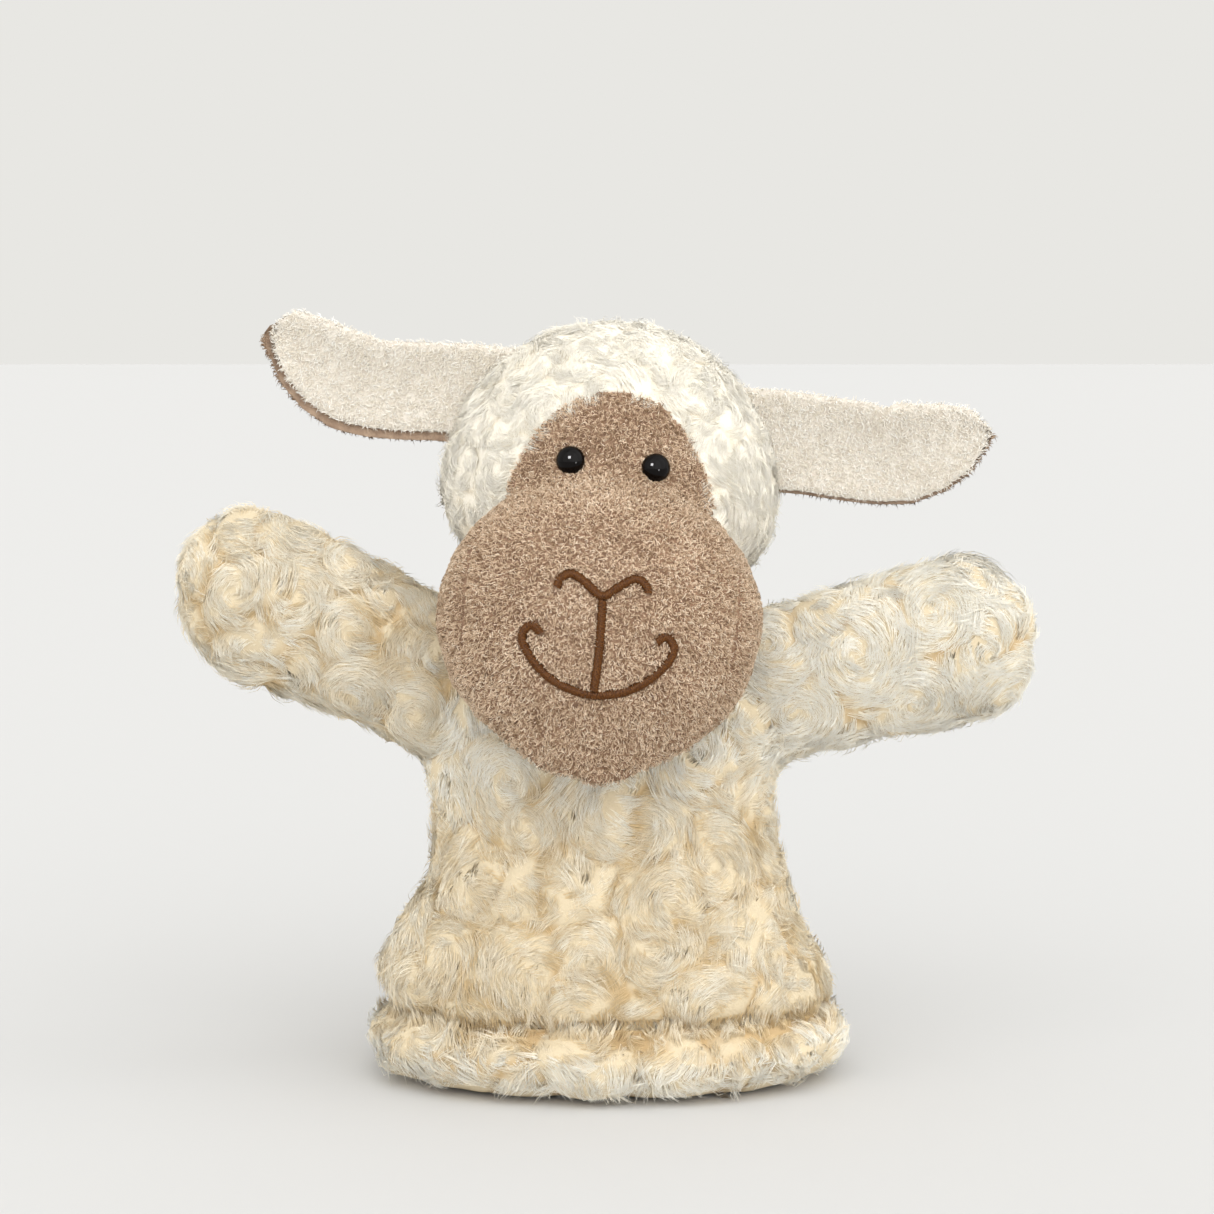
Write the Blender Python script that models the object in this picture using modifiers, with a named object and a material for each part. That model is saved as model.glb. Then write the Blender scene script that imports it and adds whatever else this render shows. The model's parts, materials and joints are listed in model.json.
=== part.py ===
"""Plush sheep glove puppet: every fabric panel, lining, filling and fitting is a closed solid of its own.

The puppet faces -Y and stands on its hem at z = 0. Left and right are the puppet's own, so its left is +X.
Sizes are in millimetres and become metres when a mesh is made.
"""

import math

import bmesh
import bpy
from mathutils import Matrix, Vector

MM = 0.001
GAP = 0.3
SIDES = {"left": 1, "right": -1}

# The torso stands this far behind the origin, which is under the middle of the whole puppet.
DEPTH_SHIFT = 15.3

# Torso profile: height, half width, half depth of the outside.
TORSO_PROFILE = [
    (24.5, 75.0, 48.0),
    (35.0, 74.5, 47.5),
    (50.0, 69.0, 45.0),
    (66.0, 61.5, 41.0),
    (80.0, 58.0, 37.0),
    (98.0, 57.0, 33.0),
    (114.0, 57.0, 30.5),
    (128.0, 56.5, 29.0),
    (139.0, 51.0, 27.5),
    (146.0, 39.0, 25.0),
    (148.5, 22.0, 20.5),
]
HEM_PROFILE = [
    (0.0, 66.0, 41.0),
    (4.0, 72.0, 46.0),
    (11.0, 76.0, 49.5),
    (18.0, 76.0, 49.5),
    (23.9, 72.5, 46.5),
]
HEM_THICKNESS = 8.5
FLEECE = 6.0
LINING = 1.2
SECTION_POWER = 2.3
ROUND_POWER = 2.0
PANEL_COLUMNS = 15
RING_COLUMNS = 28

# Shoulders: height of the joint, length to the tip, radii at root, middle and paw, and the angle above level.
SHOULDER_X = 61.0
ARM_Y = 4.0
ARMS = {
    "left": {"height": 132.0, "length": 83.1, "radii": (25.0, 25.5, 27.5), "angle": 14.0},
    "right": {"height": 135.0, "length": 88.5, "radii": (23.5, 25.5, 25.5), "angle": 27.0},
}
ARM_DEPTH_RATIO = 0.80
ARMHOLE_CLEARANCE = 2.0
SLEEVE_START = 3.0
WRIST = 44.0
WRIST_GAP = 0.6
PAW_ROUND = 26.0

# Head: a ball of fleece over filling, on a neck joint that leans the face slightly to one side.
NECK_JOINT = (-3.0, 0.0, 150.0)
HEAD_ROLL = 5.0
BALL_CENTRE = (0.0, 0.0, 45.0)
BALL_SIDE = 58.0
BALL_DEPTH = 50.0
BALL_UP = 59.0
BALL_DOWN = 41.0
FACE_INSET = 2.5
NECK_HOLE = 15.5
NECK_TUBE = (13.9, 12.2, 134.0, 147.0)
POCKET = (12.4, 11.0, 3.6, 62.0)
POCKET_TOP = 13.0

# Face patch outline on the head, from the crown down to behind the muzzle: half width, height.
FACE_ARCH = [(0.0, 79.5), (12.0, 77.0), (21.0, 70.0), (27.0, 61.0), (31.0, 52.0), (33.0, 46.0), (28.0, 38.0), (20.0, 32.0)]

MUZZLE_CENTRE = (0.0, -44.0, 7.0)
MUZZLE_RADII = (53.0, 34.0, 47.0)
MUZZLE_DOWN = 55.0
MUZZLE_SKIN = 3.0
THROAT_POINT = (0.0, -47.0, -21.5)
THROAT_LEAN = 31.0

EYE_X = 13.4
EYE_HEIGHT = 61.2
EYE_RADIUS = 4.6
EYE_DOME = 3.6
SHANK_RADIUS = 1.5
SHANK_LENGTH = 8.0
WASHER = (5.5, 1.9, 4.6, 6.0)

# Embroidery on the muzzle: half outlines, from the middle outward, as sideways and upward distances.
NOSE_LINE = [(0.0, 20.2), (4.6, 23.4), (9.6, 26.2), (13.0, 24.6), (14.0, 22.0)]
MOUTH_LINE = [(0.0, -10.2), (9.6, -8.4), (17.0, -3.8), (22.0, 2.0), (23.2, 6.4), (20.6, 9.6), (17.8, 7.6)]
LIP_LINE = [(0.3, 17.2), (0.6, 5.0), (0.0, -7.2)]
STITCH_RADIUS = 1.2

# Ears: distance out from the root, height above and below the ear's middle line.
EAR_OUTLINE = [
    (0.0, 17.0, 17.0),
    (12.0, 17.3, 17.8),
    (26.0, 17.5, 18.5),
    (40.0, 17.5, 18.0),
    (52.0, 17.0, 14.0),
    (61.0, 15.0, 8.0),
    (66.5, 10.5, 1.0),
]
EAR_LAYER = 2.2
EAR_COLUMNS = 7
EAR_Y = -2.0
EAR_ROOT_SLANT = 9.0
EAR_DISH = 3.0
EARS = {
    "left": {"root": 55.0, "middle": 69.5, "width": 1.06, "length": 1.02, "curl": 4.0, "droop": 0.0},
    "right": {"root": 51.5, "middle": 76.5, "width": 0.94, "length": 0.98, "curl": 11.0, "droop": 2.0},
}

COLOURS = {
    "cream_fleece": (0.86, 0.77, 0.60, 1.0, 0.95),
    "white_fleece": (0.92, 0.88, 0.78, 1.0, 0.95),
    "taupe_plush": (0.42, 0.30, 0.20, 1.0, 0.92),
    "cream_plush": (0.80, 0.74, 0.62, 1.0, 0.92),
    "lining_cloth": (0.74, 0.68, 0.56, 1.0, 0.85),
    "fibre_filling": (0.90, 0.90, 0.88, 1.0, 0.98),
    "black_eye": (0.010, 0.008, 0.008, 1.0, 0.12),
    "washer_plastic": (0.75, 0.75, 0.73, 1.0, 0.45),
    "brown_thread": (0.10, 0.040, 0.016, 1.0, 0.55),
}


def clear_scene():
    for obj in list(bpy.data.objects):
        bpy.data.objects.remove(obj)


def make_collection(name):
    collection = bpy.data.collections.new(name)
    bpy.context.scene.collection.children.link(collection)
    return collection


def make_materials():
    made = {}
    for name, values in COLOURS.items():
        material = bpy.data.materials.new(name)
        material.use_nodes = True
        shader = material.node_tree.nodes["Principled BSDF"]
        shader.inputs["Base Color"].default_value = values[:4]
        shader.inputs["Roughness"].default_value = values[4]
        shader.inputs["Metallic"].default_value = 0.0
        made[name] = material
    return made


clear_scene()
PUPPET = make_collection("sheep_hand_puppet")
CUTTERS = make_collection("cutters")
MATERIALS = make_materials()


# ---- placing and cutting -------------------------------------------------------------------------


def world_frame():
    return Matrix.Translation(Vector((0.0, DEPTH_SHIFT, 0.0)) * MM)


def head_frame():
    return (
        world_frame()
        @ Matrix.Translation(Vector(NECK_JOINT) * MM)
        @ Matrix.Rotation(math.radians(HEAD_ROLL), 4, "Y")
    )


def neck_frame():
    return world_frame() @ Matrix.Translation(Vector((NECK_JOINT[0], NECK_JOINT[1], 0.0)) * MM)


def arm_frame(side):
    """Its +X runs from the shoulder joint along the arm, on either side of the body."""
    arm, sign = ARMS[side], SIDES[side]
    place = Matrix.Translation(Vector((sign * SHOULDER_X, ARM_Y, arm["height"])) * MM)
    turn = Matrix.Rotation(math.radians(-arm["angle"]), 4, "Y")
    if sign < 0:
        turn = Matrix.Rotation(math.pi, 4, "Z") @ turn
    return world_frame() @ place @ turn


def add_object(name, mesh, frame, material):
    obj = bpy.data.objects.new(name, mesh)
    PUPPET.objects.link(obj)
    obj.matrix_world = frame
    mesh.materials.append(MATERIALS[material])
    return obj


def add_cutter(name, mesh, frame):
    obj = bpy.data.objects.new(name, mesh)
    CUTTERS.objects.link(obj)
    obj.matrix_world = frame
    obj.hide_render = True
    obj.display_type = "WIRE"
    return obj


def combine(obj, other, operation):
    modifier = obj.modifiers.new(other.name, "BOOLEAN")
    modifier.operation = operation
    modifier.solver = "EXACT"
    modifier.object = other


def cut(obj, *cutters):
    for cutter in cutters:
        combine(obj, cutter, "DIFFERENCE")


def mesh_from(bm, name, smooth=True):
    """Closes a bmesh in millimetres into a mesh in metres, with its faces turned outward."""
    bmesh.ops.remove_doubles(bm, verts=bm.verts, dist=1e-4)
    loose = [edge for edge in bm.edges if not edge.link_faces]
    bmesh.ops.delete(bm, geom=loose, context="EDGES")
    bmesh.ops.recalc_face_normals(bm, faces=bm.faces)
    bmesh.ops.scale(bm, vec=(MM, MM, MM), verts=bm.verts)
    for face in bm.faces:
        face.smooth = smooth
    mesh = bpy.data.meshes.new(name)
    bm.to_mesh(mesh)
    bm.free()
    return mesh


# ---- sheet-like solids: lofts between unlike sections ---------------------------------------------


def wall_mesh(name, outer, inner, closed=False, poles=(False, False)):
    """A curved wall between an outer and an inner grid of points, each a list of rows.

    closed joins each row's ends into a ring. poles says which end rows are drawn in to one point.
    """
    bm = bmesh.new()
    outside = [[bm.verts.new(point) for point in row] for row in outer]
    inside = [[bm.verts.new(point) for point in row] for row in inner]
    columns = len(outer[0])
    last_row = len(outer) - 1
    spans = [(c, (c + 1) % columns) for c in range(columns if closed else columns - 1)]
    for r in range(last_row):
        for a, b in spans:
            bm.faces.new((outside[r][a], outside[r][b], outside[r + 1][b], outside[r + 1][a]))
            bm.faces.new((inside[r][a], inside[r + 1][a], inside[r + 1][b], inside[r][b]))
    for row, pole in ((0, poles[0]), (last_row, poles[1])):
        if pole:
            continue
        for a, b in spans:
            bm.faces.new((outside[row][a], inside[row][a], inside[row][b], outside[row][b]))
    if not closed:
        for column in (0, columns - 1):
            for r in range(last_row):
                bm.faces.new(
                    (outside[r][column], outside[r + 1][column], inside[r + 1][column], inside[r][column])
                )
    return mesh_from(bm, name)


def beside_seam(deep, seam):
    """Keeps a panel's edge that far from the side seam's plane. A seam of 0 means there is none."""
    if seam < 0:
        return min(deep, seam)
    return max(deep, seam) if seam > 0 else deep


def section(half_width, half_depth, angles, power, seam=0.0):
    """Points of a rounded section."""
    points = []
    for angle in angles:
        c, s = math.cos(angle), math.sin(angle)
        across = math.copysign(abs(c) ** (2 / power), c) * half_width
        deep = math.copysign(abs(s) ** (2 / power), s) * half_depth
        points.append((across, beside_seam(deep, seam)))
    return points


def inset(profile, thickness):
    """The profile moved inward, square to its slope."""
    moved = []
    for i, (height, width, depth) in enumerate(profile):
        before, after = profile[max(i - 1, 0)], profile[min(i + 1, len(profile) - 1)]
        rise = after[0] - before[0]
        run = (after[1] + after[2] - before[1] - before[2]) / 2
        length = math.hypot(rise, run)
        out, up = rise / length, -run / length
        moved.append((height - thickness * up, width - thickness * out, depth - thickness * out))
    return moved


def section_power(profile, i):
    """Sections turn from boxy at the hem to round at the neck."""
    share = (profile[i][0] / TORSO_PROFILE[-1][0]) ** 4
    return SECTION_POWER + (ROUND_POWER - SECTION_POWER) * min(share, 1.0)


def stack(profile, angles, seam=0.0):
    """Rows of points up a profile."""
    rows = []
    for i, (height, width, depth) in enumerate(profile):
        flat = section(width, depth, angles, section_power(profile, i), seam)
        rows.append([Vector((x, y, height)) for x, y in flat])
    return rows


def half_turn(front, columns):
    start = math.pi if front else 0.0
    return [start + math.pi * i / (columns - 1) for i in range(columns)]


def full_turn(columns):
    return [2 * math.pi * i / columns for i in range(columns)]


# ---- torso ---------------------------------------------------------------------------------------


def armhole_cutters():
    cutters = []
    for side, arm in ARMS.items():
        bm = bmesh.new()
        radius = max(arm["radii"][0], 24.0) + ARMHOLE_CLEARANCE
        bmesh.ops.create_uvsphere(bm, u_segments=24, v_segments=14, radius=radius)
        cutters.append(add_cutter(f"cut_armhole_{side}", mesh_from(bm, f"cut_armhole_{side}"), arm_frame(side)))
    return cutters


def torso(armholes):
    outer, inner = TORSO_PROFILE, inset(TORSO_PROFILE, FLEECE)
    for name, front in (("body_front_panel", True), ("body_back_panel", False)):
        seam = -GAP / 2 if front else GAP / 2
        angles = half_turn(front, PANEL_COLUMNS)
        mesh = wall_mesh(name, stack(outer, angles, seam), stack(inner, angles, seam))
        cut(add_object(name, mesh, world_frame(), "cream_fleece"), *armholes)
    skin = inset(TORSO_PROFILE, FLEECE + GAP)[:-1]
    lining = inset(TORSO_PROFILE, FLEECE + GAP + LINING)[:-1]
    ring = full_turn(RING_COLUMNS)
    mesh = wall_mesh("body_lining", stack(skin, ring), stack(lining, ring), closed=True)
    cut(add_object("body_lining", mesh, world_frame(), "lining_cloth"), *armholes)


def hem():
    """The fleece turned up and in at the opening, as one thick roll with a flat underside."""
    inner = [(height, width - HEM_THICKNESS, depth - HEM_THICKNESS) for height, width, depth in HEM_PROFILE]
    ring = full_turn(RING_COLUMNS)
    mesh = wall_mesh("hem_roll", stack(HEM_PROFILE, ring), stack(inner, ring), closed=True)
    add_object("hem_roll", mesh, world_frame(), "cream_fleece")


def neck():
    """The lining's neck, which the finger passes through and the head turns on."""
    outer, inner, bottom, top = NECK_TUBE
    ring = full_turn(20)
    rows = [[[Vector((r * math.cos(a), r * math.sin(a), z)) for a in ring] for z in (bottom, top)] for r in (outer, inner)]
    mesh = wall_mesh("neck_sleeve", rows[0], rows[1], closed=True)
    add_object("neck_sleeve", mesh, neck_frame(), "lining_cloth")


# ---- arms ----------------------------------------------------------------------------------------


def arm_radius(side, along):
    root, middle, paw = ARMS[side]["radii"]
    length = ARMS[side]["length"]
    stations = [(0.0, root), (WRIST / 2, middle), (WRIST, (middle + paw) / 2), (length - PAW_ROUND, paw)]
    for (x0, r0), (x1, r1) in zip(stations, stations[1:]):
        if along <= x1:
            return r0 + (r1 - r0) * (along - x0) / (x1 - x0)
    share = min((along - (length - PAW_ROUND)) / PAW_ROUND, 1.0)
    return paw * math.sqrt(max(1.0 - share * share, 0.0))


def arm_rows(side, stations, angles, thickness, seam):
    """Rows round the arm at each station, drawn in by thickness, tip included."""
    length = ARMS[side]["length"]
    rows = []
    for along in stations:
        outside = arm_radius(side, along)
        if along > length - PAW_ROUND:
            share = (along - (length - PAW_ROUND)) / PAW_ROUND
            along = length - PAW_ROUND + share * (PAW_ROUND - thickness)
            radius = outside * (1.0 - thickness / ARMS[side]["radii"][2])
        else:
            radius = outside - thickness
        flat = section(radius, radius * ARM_DEPTH_RATIO, angles, ROUND_POWER, seam)
        rows.append([Vector((along, deep, up)) for up, deep in flat])
    return rows


def sleeve_stations():
    steps = 4
    return [SLEEVE_START + (WRIST - WRIST_GAP / 2 - SLEEVE_START) * i / steps for i in range(steps + 1)]


def paw_stations(side):
    length = ARMS[side]["length"]
    straight = [WRIST + WRIST_GAP / 2, length - PAW_ROUND]
    curved = [math.sin(math.radians(angle)) for angle in (22, 42, 60, 76, 90)]
    return straight + [length - PAW_ROUND + PAW_ROUND * share for share in curved]


def arm_panels(side, part, stations, closed_tip):
    """Front and back fleece of a sleeve or a paw, and the lining inside them."""
    # On the right side the arm's own +Y points to the front of the body.
    forward = -1 if SIDES[side] > 0 else 1
    poles = (False, closed_tip)
    for face, direction in (("front", forward), ("back", -forward)):
        name = f"{side}_{part}_{face}"
        angles = half_turn(direction < 0, 9)
        seam = direction * GAP / 2
        outer = arm_rows(side, stations, angles, 0.0, seam)
        inner = arm_rows(side, stations, angles, FLEECE, seam)
        if closed_tip:
            outer[-1] = [Vector((outer[-1][0].x, seam, 0.0))] * len(angles)
            inner[-1] = [Vector((inner[-1][0].x, seam, 0.0))] * len(angles)
            mesh = wall_mesh(name, outer, inner, poles=poles)
        else:
            mesh = wall_mesh(name, outer, inner)
        add_object(name, mesh, arm_frame(side), "cream_fleece")
    name = f"{side}_{part}_lining"
    ring = full_turn(16)
    outer = arm_rows(side, stations, ring, FLEECE + GAP, 0.0)
    inner = arm_rows(side, stations, ring, FLEECE + GAP + LINING, 0.0)
    mesh = wall_mesh(name, outer, inner, closed=True, poles=poles)
    add_object(name, mesh, arm_frame(side), "lining_cloth")


def arms():
    for side in SIDES:
        arm_panels(side, "sleeve", sleeve_stations(), False)
        arm_panels(side, "paw", paw_stations(side), True)


# ---- head ----------------------------------------------------------------------------------------


def ball_mesh(name, drawn_in, segments=24, rings=16):
    """The head's outside, drawn in evenly. Its upper and lower halves have their own heights."""
    bm = bmesh.new()
    bmesh.ops.create_uvsphere(bm, u_segments=segments, v_segments=rings, radius=1.0)
    centre = Vector(BALL_CENTRE)
    for vert in bm.verts:
        tall = (BALL_UP if vert.co.z > 0 else BALL_DOWN) - drawn_in
        vert.co = centre + Vector(
            (vert.co.x * (BALL_SIDE - drawn_in), vert.co.y * (BALL_DEPTH - drawn_in), vert.co.z * tall)
        )
    return mesh_from(bm, name)


def muzzle_radii(above):
    """The muzzle hangs further below its middle than it rises above it."""
    return MUZZLE_RADII if above else (MUZZLE_RADII[0], MUZZLE_RADII[1], MUZZLE_DOWN)


def muzzle_mesh(name, drawn_in, segments=24, rings=16):
    bm = bmesh.new()
    bmesh.ops.create_uvsphere(bm, u_segments=segments, v_segments=rings, radius=1.0)
    centre = Vector(MUZZLE_CENTRE)
    for vert in bm.verts:
        radii = muzzle_radii(vert.co.z > 0)
        vert.co = centre + Vector([vert.co[i] * (radii[i] - drawn_in) for i in range(3)])
    return mesh_from(bm, name)


def box_mesh(name, low, high):
    bm = bmesh.new()
    bmesh.ops.create_cube(bm, size=1.0)
    low, high = Vector(low), Vector(high)
    for vert in bm.verts:
        vert.co = Vector([(low[i] + high[i]) / 2 + vert.co[i] * (high[i] - low[i]) for i in range(3)])
    return mesh_from(bm, name, smooth=False)


def cylinder_mesh(name, radius, low, high, segments=24):
    bm = bmesh.new()
    bmesh.ops.create_cone(
        bm, cap_ends=True, segments=segments, radius1=radius, radius2=radius, depth=high - low
    )
    bmesh.ops.translate(bm, vec=(0.0, 0.0, (low + high) / 2), verts=bm.verts)
    return mesh_from(bm, name)


def arch_mesh(name, grow):
    """The face patch's outline as a prism through the front half of the head."""
    bm = bmesh.new()
    right = [(x + grow * min(x, 1.0), z + grow) for x, z in FACE_ARCH]
    outline = right + [(-x, z) for x, z in reversed(right[1:])]
    front = [bm.verts.new((x, -BALL_DEPTH - 20.0, z)) for x, z in outline]
    back = [bm.verts.new((x, -8.0, z)) for x, z in outline]
    bm.faces.new(front)
    bm.faces.new(list(reversed(back)))
    for i in range(len(outline)):
        j = (i + 1) % len(outline)
        bm.faces.new((front[j], front[i], back[i], back[j]))
    return mesh_from(bm, name, smooth=False)


def surface_point(centre, radii, x, z):
    """The front of an ellipsoid at a sideways distance and a height."""
    inside = 1.0 - ((x - centre[0]) / radii[0]) ** 2 - ((z - centre[2]) / radii[2]) ** 2
    return Vector((x, centre[1] - radii[1] * math.sqrt(max(inside, 0.0)), z))


def eye_frame(sign):
    """At the face patch's outside, with +Z pointing straight out of the face."""
    radii = [BALL_SIDE - FACE_INSET, BALL_DEPTH - FACE_INSET, BALL_UP - FACE_INSET]
    point = surface_point(BALL_CENTRE, radii, sign * EYE_X, EYE_HEIGHT)
    normal = Vector([(point[i] - BALL_CENTRE[i]) / radii[i] ** 2 for i in range(3)])
    turn = normal.to_track_quat("Z", "Y").to_matrix().to_4x4()
    return head_frame() @ Matrix.Translation(point * MM) @ turn


def turned(name, profile, frame, material, closed=False, steps=20):
    """A round piece from a profile of (radius, height) that runs down its outer side."""
    mesh = bpy.data.meshes.new(name)
    points = [(radius * MM, 0.0, height * MM) for radius, height in profile]
    edges = [(i, i + 1) for i in range(len(points) - 1)]
    if closed:
        edges.append((len(points) - 1, 0))
    mesh.from_pydata(points, edges, [])
    obj = add_object(name, mesh, frame, material)
    screw = obj.modifiers.new("turn", "SCREW")
    screw.axis = "Z"
    screw.steps = steps
    screw.render_steps = steps
    screw.use_merge_vertices = True
    screw.merge_threshold = 0.00001
    screw.use_smooth_shade = True
    return obj


def eyes():
    """Domed safety eyes. Each shank goes through the face patch into the filling, where a washer grips it."""
    dome = [
        (EYE_RADIUS * math.sin(math.radians(a)), GAP + EYE_DOME * math.cos(math.radians(a)))
        for a in (0, 20, 40, 60, 78, 90)
    ]
    profile = dome + [(SHANK_RADIUS, GAP), (SHANK_RADIUS, -SHANK_LENGTH), (0.0, -SHANK_LENGTH)]
    outer, inner, near, far = WASHER
    ring = [(outer, -near), (outer, -far), (inner, -far), (inner, -near)]
    for side, sign in SIDES.items():
        turned(f"{side}_eye", profile, eye_frame(sign), "black_eye")
        turned(f"{side}_eye_washer", ring, eye_frame(sign), "washer_plastic", closed=True)


def eye_cutters():
    shanks, pockets = [], []
    for side, sign in SIDES.items():
        name = f"cut_shank_{side}"
        mesh = cylinder_mesh(name, WASHER[1], -SHANK_LENGTH - 1.0, 6.0, 16)
        shanks.append(add_cutter(name, mesh, eye_frame(sign)))
        name = f"cut_washer_{side}"
        mesh = cylinder_mesh(name, WASHER[0] + GAP, -WASHER[3] - GAP, 2.0, 20)
        pockets.append(add_cutter(name, mesh, eye_frame(sign)))
    return shanks, pockets


def throat_frame():
    """Its +Z points back and down, out of the muzzle's slanting underside."""
    lean = Matrix.Rotation(math.radians(-90.0 - THROAT_LEAN), 4, "X")
    return head_frame() @ Matrix.Translation(Vector(THROAT_POINT) * MM) @ lean


def head():
    frame = head_frame()
    size = 200.0
    ball_inside = add_cutter("cut_ball_inside", ball_mesh("cut_ball_inside", FLEECE), frame)
    ball_outside = add_cutter("cut_ball_outside", ball_mesh("cut_ball_outside", -GAP), frame)
    face_hole = add_cutter("cut_face_hole", arch_mesh("cut_face_hole", GAP), frame)
    muzzle_hole = add_cutter("cut_muzzle_hole", muzzle_mesh("cut_muzzle_hole", -GAP), frame)
    muzzle_inside = add_cutter("cut_muzzle_inside", muzzle_mesh("cut_muzzle_inside", MUZZLE_SKIN), frame)
    neck_hole = add_cutter(
        "cut_neck_hole", cylinder_mesh("cut_neck_hole", NECK_HOLE, -20.0, 25.0, 24), frame
    )
    pocket_hole = add_cutter(
        "cut_pocket_hole", cylinder_mesh("cut_pocket_hole", POCKET[0] + GAP, -20.0, POCKET[3] + GAP, 24), frame
    )
    behind_throat = add_cutter(
        "cut_behind_throat", box_mesh("cut_behind_throat", (-size, -size, 0.0), (size, size, size)), throat_frame()
    )
    before_throat = add_cutter(
        "cut_before_throat", box_mesh("cut_before_throat", (-size, -size, -size), (size, size, GAP)), throat_frame()
    )
    below_throat = add_cutter(
        "cut_below_throat",
        box_mesh("cut_below_throat", (-size, -size, GAP + MUZZLE_SKIN), (size, size, size)),
        throat_frame(),
    )
    shanks, washer_pockets = eye_cutters()

    for side, sign in SIDES.items():
        name = f"crown_{side}_panel"
        low, high = sorted((-sign * size, sign * GAP / 2))
        other_half = add_cutter(
            f"cut_other_half_{side}", box_mesh(f"cut_other_half_{side}", (low, -size, -size), (high, size, size)), frame
        )
        panel = add_object(name, ball_mesh(name, 0.0), frame, "white_fleece")
        cut(panel, ball_inside, face_hole, muzzle_hole, neck_hole, other_half)

    patch = add_object("face_patch", ball_mesh("face_patch", FACE_INSET), frame, "taupe_plush")
    combine(patch, add_cutter("keep_face_patch", arch_mesh("keep_face_patch", 0.0), frame), "INTERSECT")
    cut(patch, ball_inside, muzzle_hole, *shanks)

    filling = add_object("head_filling", ball_mesh("head_filling", FLEECE + GAP), frame, "fibre_filling")
    cut(filling, pocket_hole, *washer_pockets, *shanks)

    muzzle = add_object("muzzle_panel", muzzle_mesh("muzzle_panel", 0.0), frame, "taupe_plush")
    cut(muzzle, muzzle_inside, ball_inside, behind_throat)

    stuffing = add_object("muzzle_filling", muzzle_mesh("muzzle_filling", MUZZLE_SKIN + GAP), frame, "fibre_filling")
    cut(stuffing, ball_inside, behind_throat)

    chin = add_object("chin_panel", muzzle_mesh("chin_panel", 0.0), frame, "taupe_plush")
    cut(chin, ball_outside, before_throat, below_throat)


def finger_pocket():
    """A blind lining tube in the head, for the finger that turns and nods it."""
    outer, inner, bottom, top = POCKET
    profile = [
        (0.0, top),
        (outer, top - POCKET_TOP + 8.0),
        (outer, bottom),
        (inner, bottom),
        (inner, top - POCKET_TOP + 7.0),
        (0.0, top - LINING),
    ]
    turned("finger_pocket", profile, head_frame(), "lining_cloth")


def stitch(name, outline):
    """A raised satin-stitched line that follows the muzzle."""
    curve = bpy.data.curves.new(name, "CURVE")
    curve.dimensions = "3D"
    curve.bevel_depth = STITCH_RADIUS * MM
    curve.bevel_resolution = 1
    curve.use_fill_caps = True
    curve.resolution_u = 3
    lift = STITCH_RADIUS + GAP
    spline = curve.splines.new("BEZIER")
    spline.bezier_points.add(len(outline) - 1)
    for bezier, (x, z) in zip(spline.bezier_points, outline):
        radii = [radius + lift for radius in muzzle_radii(z > MUZZLE_CENTRE[2])]
        bezier.co = surface_point(MUZZLE_CENTRE, radii, x, z) * MM
        bezier.handle_left_type = "AUTO"
        bezier.handle_right_type = "AUTO"
    add_object(name, curve, head_frame(), "brown_thread")


def both_sides(half):
    return [(-x, z) for x, z in reversed(half[1:])] + half


def embroidery():
    stitch("nose_embroidery", both_sides(NOSE_LINE))
    stitch("lip_embroidery", LIP_LINE)
    stitch("mouth_embroidery", both_sides(MOUTH_LINE))


def ear_rows(side, depth):
    """Rows across the ear from root to tip. depth is how far behind the ear's middle surface they lie."""
    ear, sign = EARS[side], SIDES[side]
    length = EAR_OUTLINE[-1][0]
    rows = []
    for along, above, below in EAR_OUTLINE:
        share = along / length
        row = []
        for i in range(EAR_COLUMNS):
            v = 1.0 - 2.0 * i / (EAR_COLUMNS - 1)
            height = (above if v > 0 else below) * v * ear["width"]
            out = ear["root"] + along * ear["length"] - EAR_ROOT_SLANT * v * (1.0 - share)
            lift = ear["curl"] * share**2.4 - ear["droop"] * math.sin(math.pi * share)
            row.append(Vector((sign * out, EAR_Y + EAR_DISH * (0.4 - v * v) + depth, ear["middle"] + height + lift)))
        rows.append(row)
    return rows


def ears():
    """Each ear is two layers sewn round the edge: cream plush in front, taupe plush behind."""
    half_gap = GAP / 2
    layers = {
        "front": (-EAR_LAYER - half_gap, -half_gap, "cream_plush"),
        "back": (half_gap, EAR_LAYER + half_gap, "taupe_plush"),
    }
    for side in SIDES:
        for layer, (near, far, material) in layers.items():
            name = f"{side}_ear_{layer}"
            add_object(name, wall_mesh(name, ear_rows(side, near), ear_rows(side, far)), head_frame(), material)


torso(armhole_cutters())
hem()
neck()
arms()
head()
finger_pocket()
eyes()
embroidery()
ears()
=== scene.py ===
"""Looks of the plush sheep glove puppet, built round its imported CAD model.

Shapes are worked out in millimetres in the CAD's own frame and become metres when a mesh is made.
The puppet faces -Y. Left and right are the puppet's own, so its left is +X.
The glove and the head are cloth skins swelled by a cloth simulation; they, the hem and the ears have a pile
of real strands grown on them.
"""

import json
import math

import bmesh
import bpy
import numpy as np
from mathutils import Matrix, Vector, kdtree
from mathutils.bvhtree import BVHTree


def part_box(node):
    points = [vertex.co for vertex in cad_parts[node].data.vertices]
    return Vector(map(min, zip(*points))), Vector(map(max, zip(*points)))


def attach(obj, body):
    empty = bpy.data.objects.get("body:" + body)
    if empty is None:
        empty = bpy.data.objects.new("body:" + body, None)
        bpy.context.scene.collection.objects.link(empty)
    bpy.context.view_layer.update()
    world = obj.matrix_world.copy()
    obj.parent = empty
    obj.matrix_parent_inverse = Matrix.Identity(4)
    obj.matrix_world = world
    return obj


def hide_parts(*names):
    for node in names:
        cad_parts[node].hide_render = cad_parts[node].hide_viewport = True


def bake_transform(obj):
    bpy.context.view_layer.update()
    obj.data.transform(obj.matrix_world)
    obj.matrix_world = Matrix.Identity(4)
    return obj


MM = 0.001
SIDES = {"left": 1, "right": -1}

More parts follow.
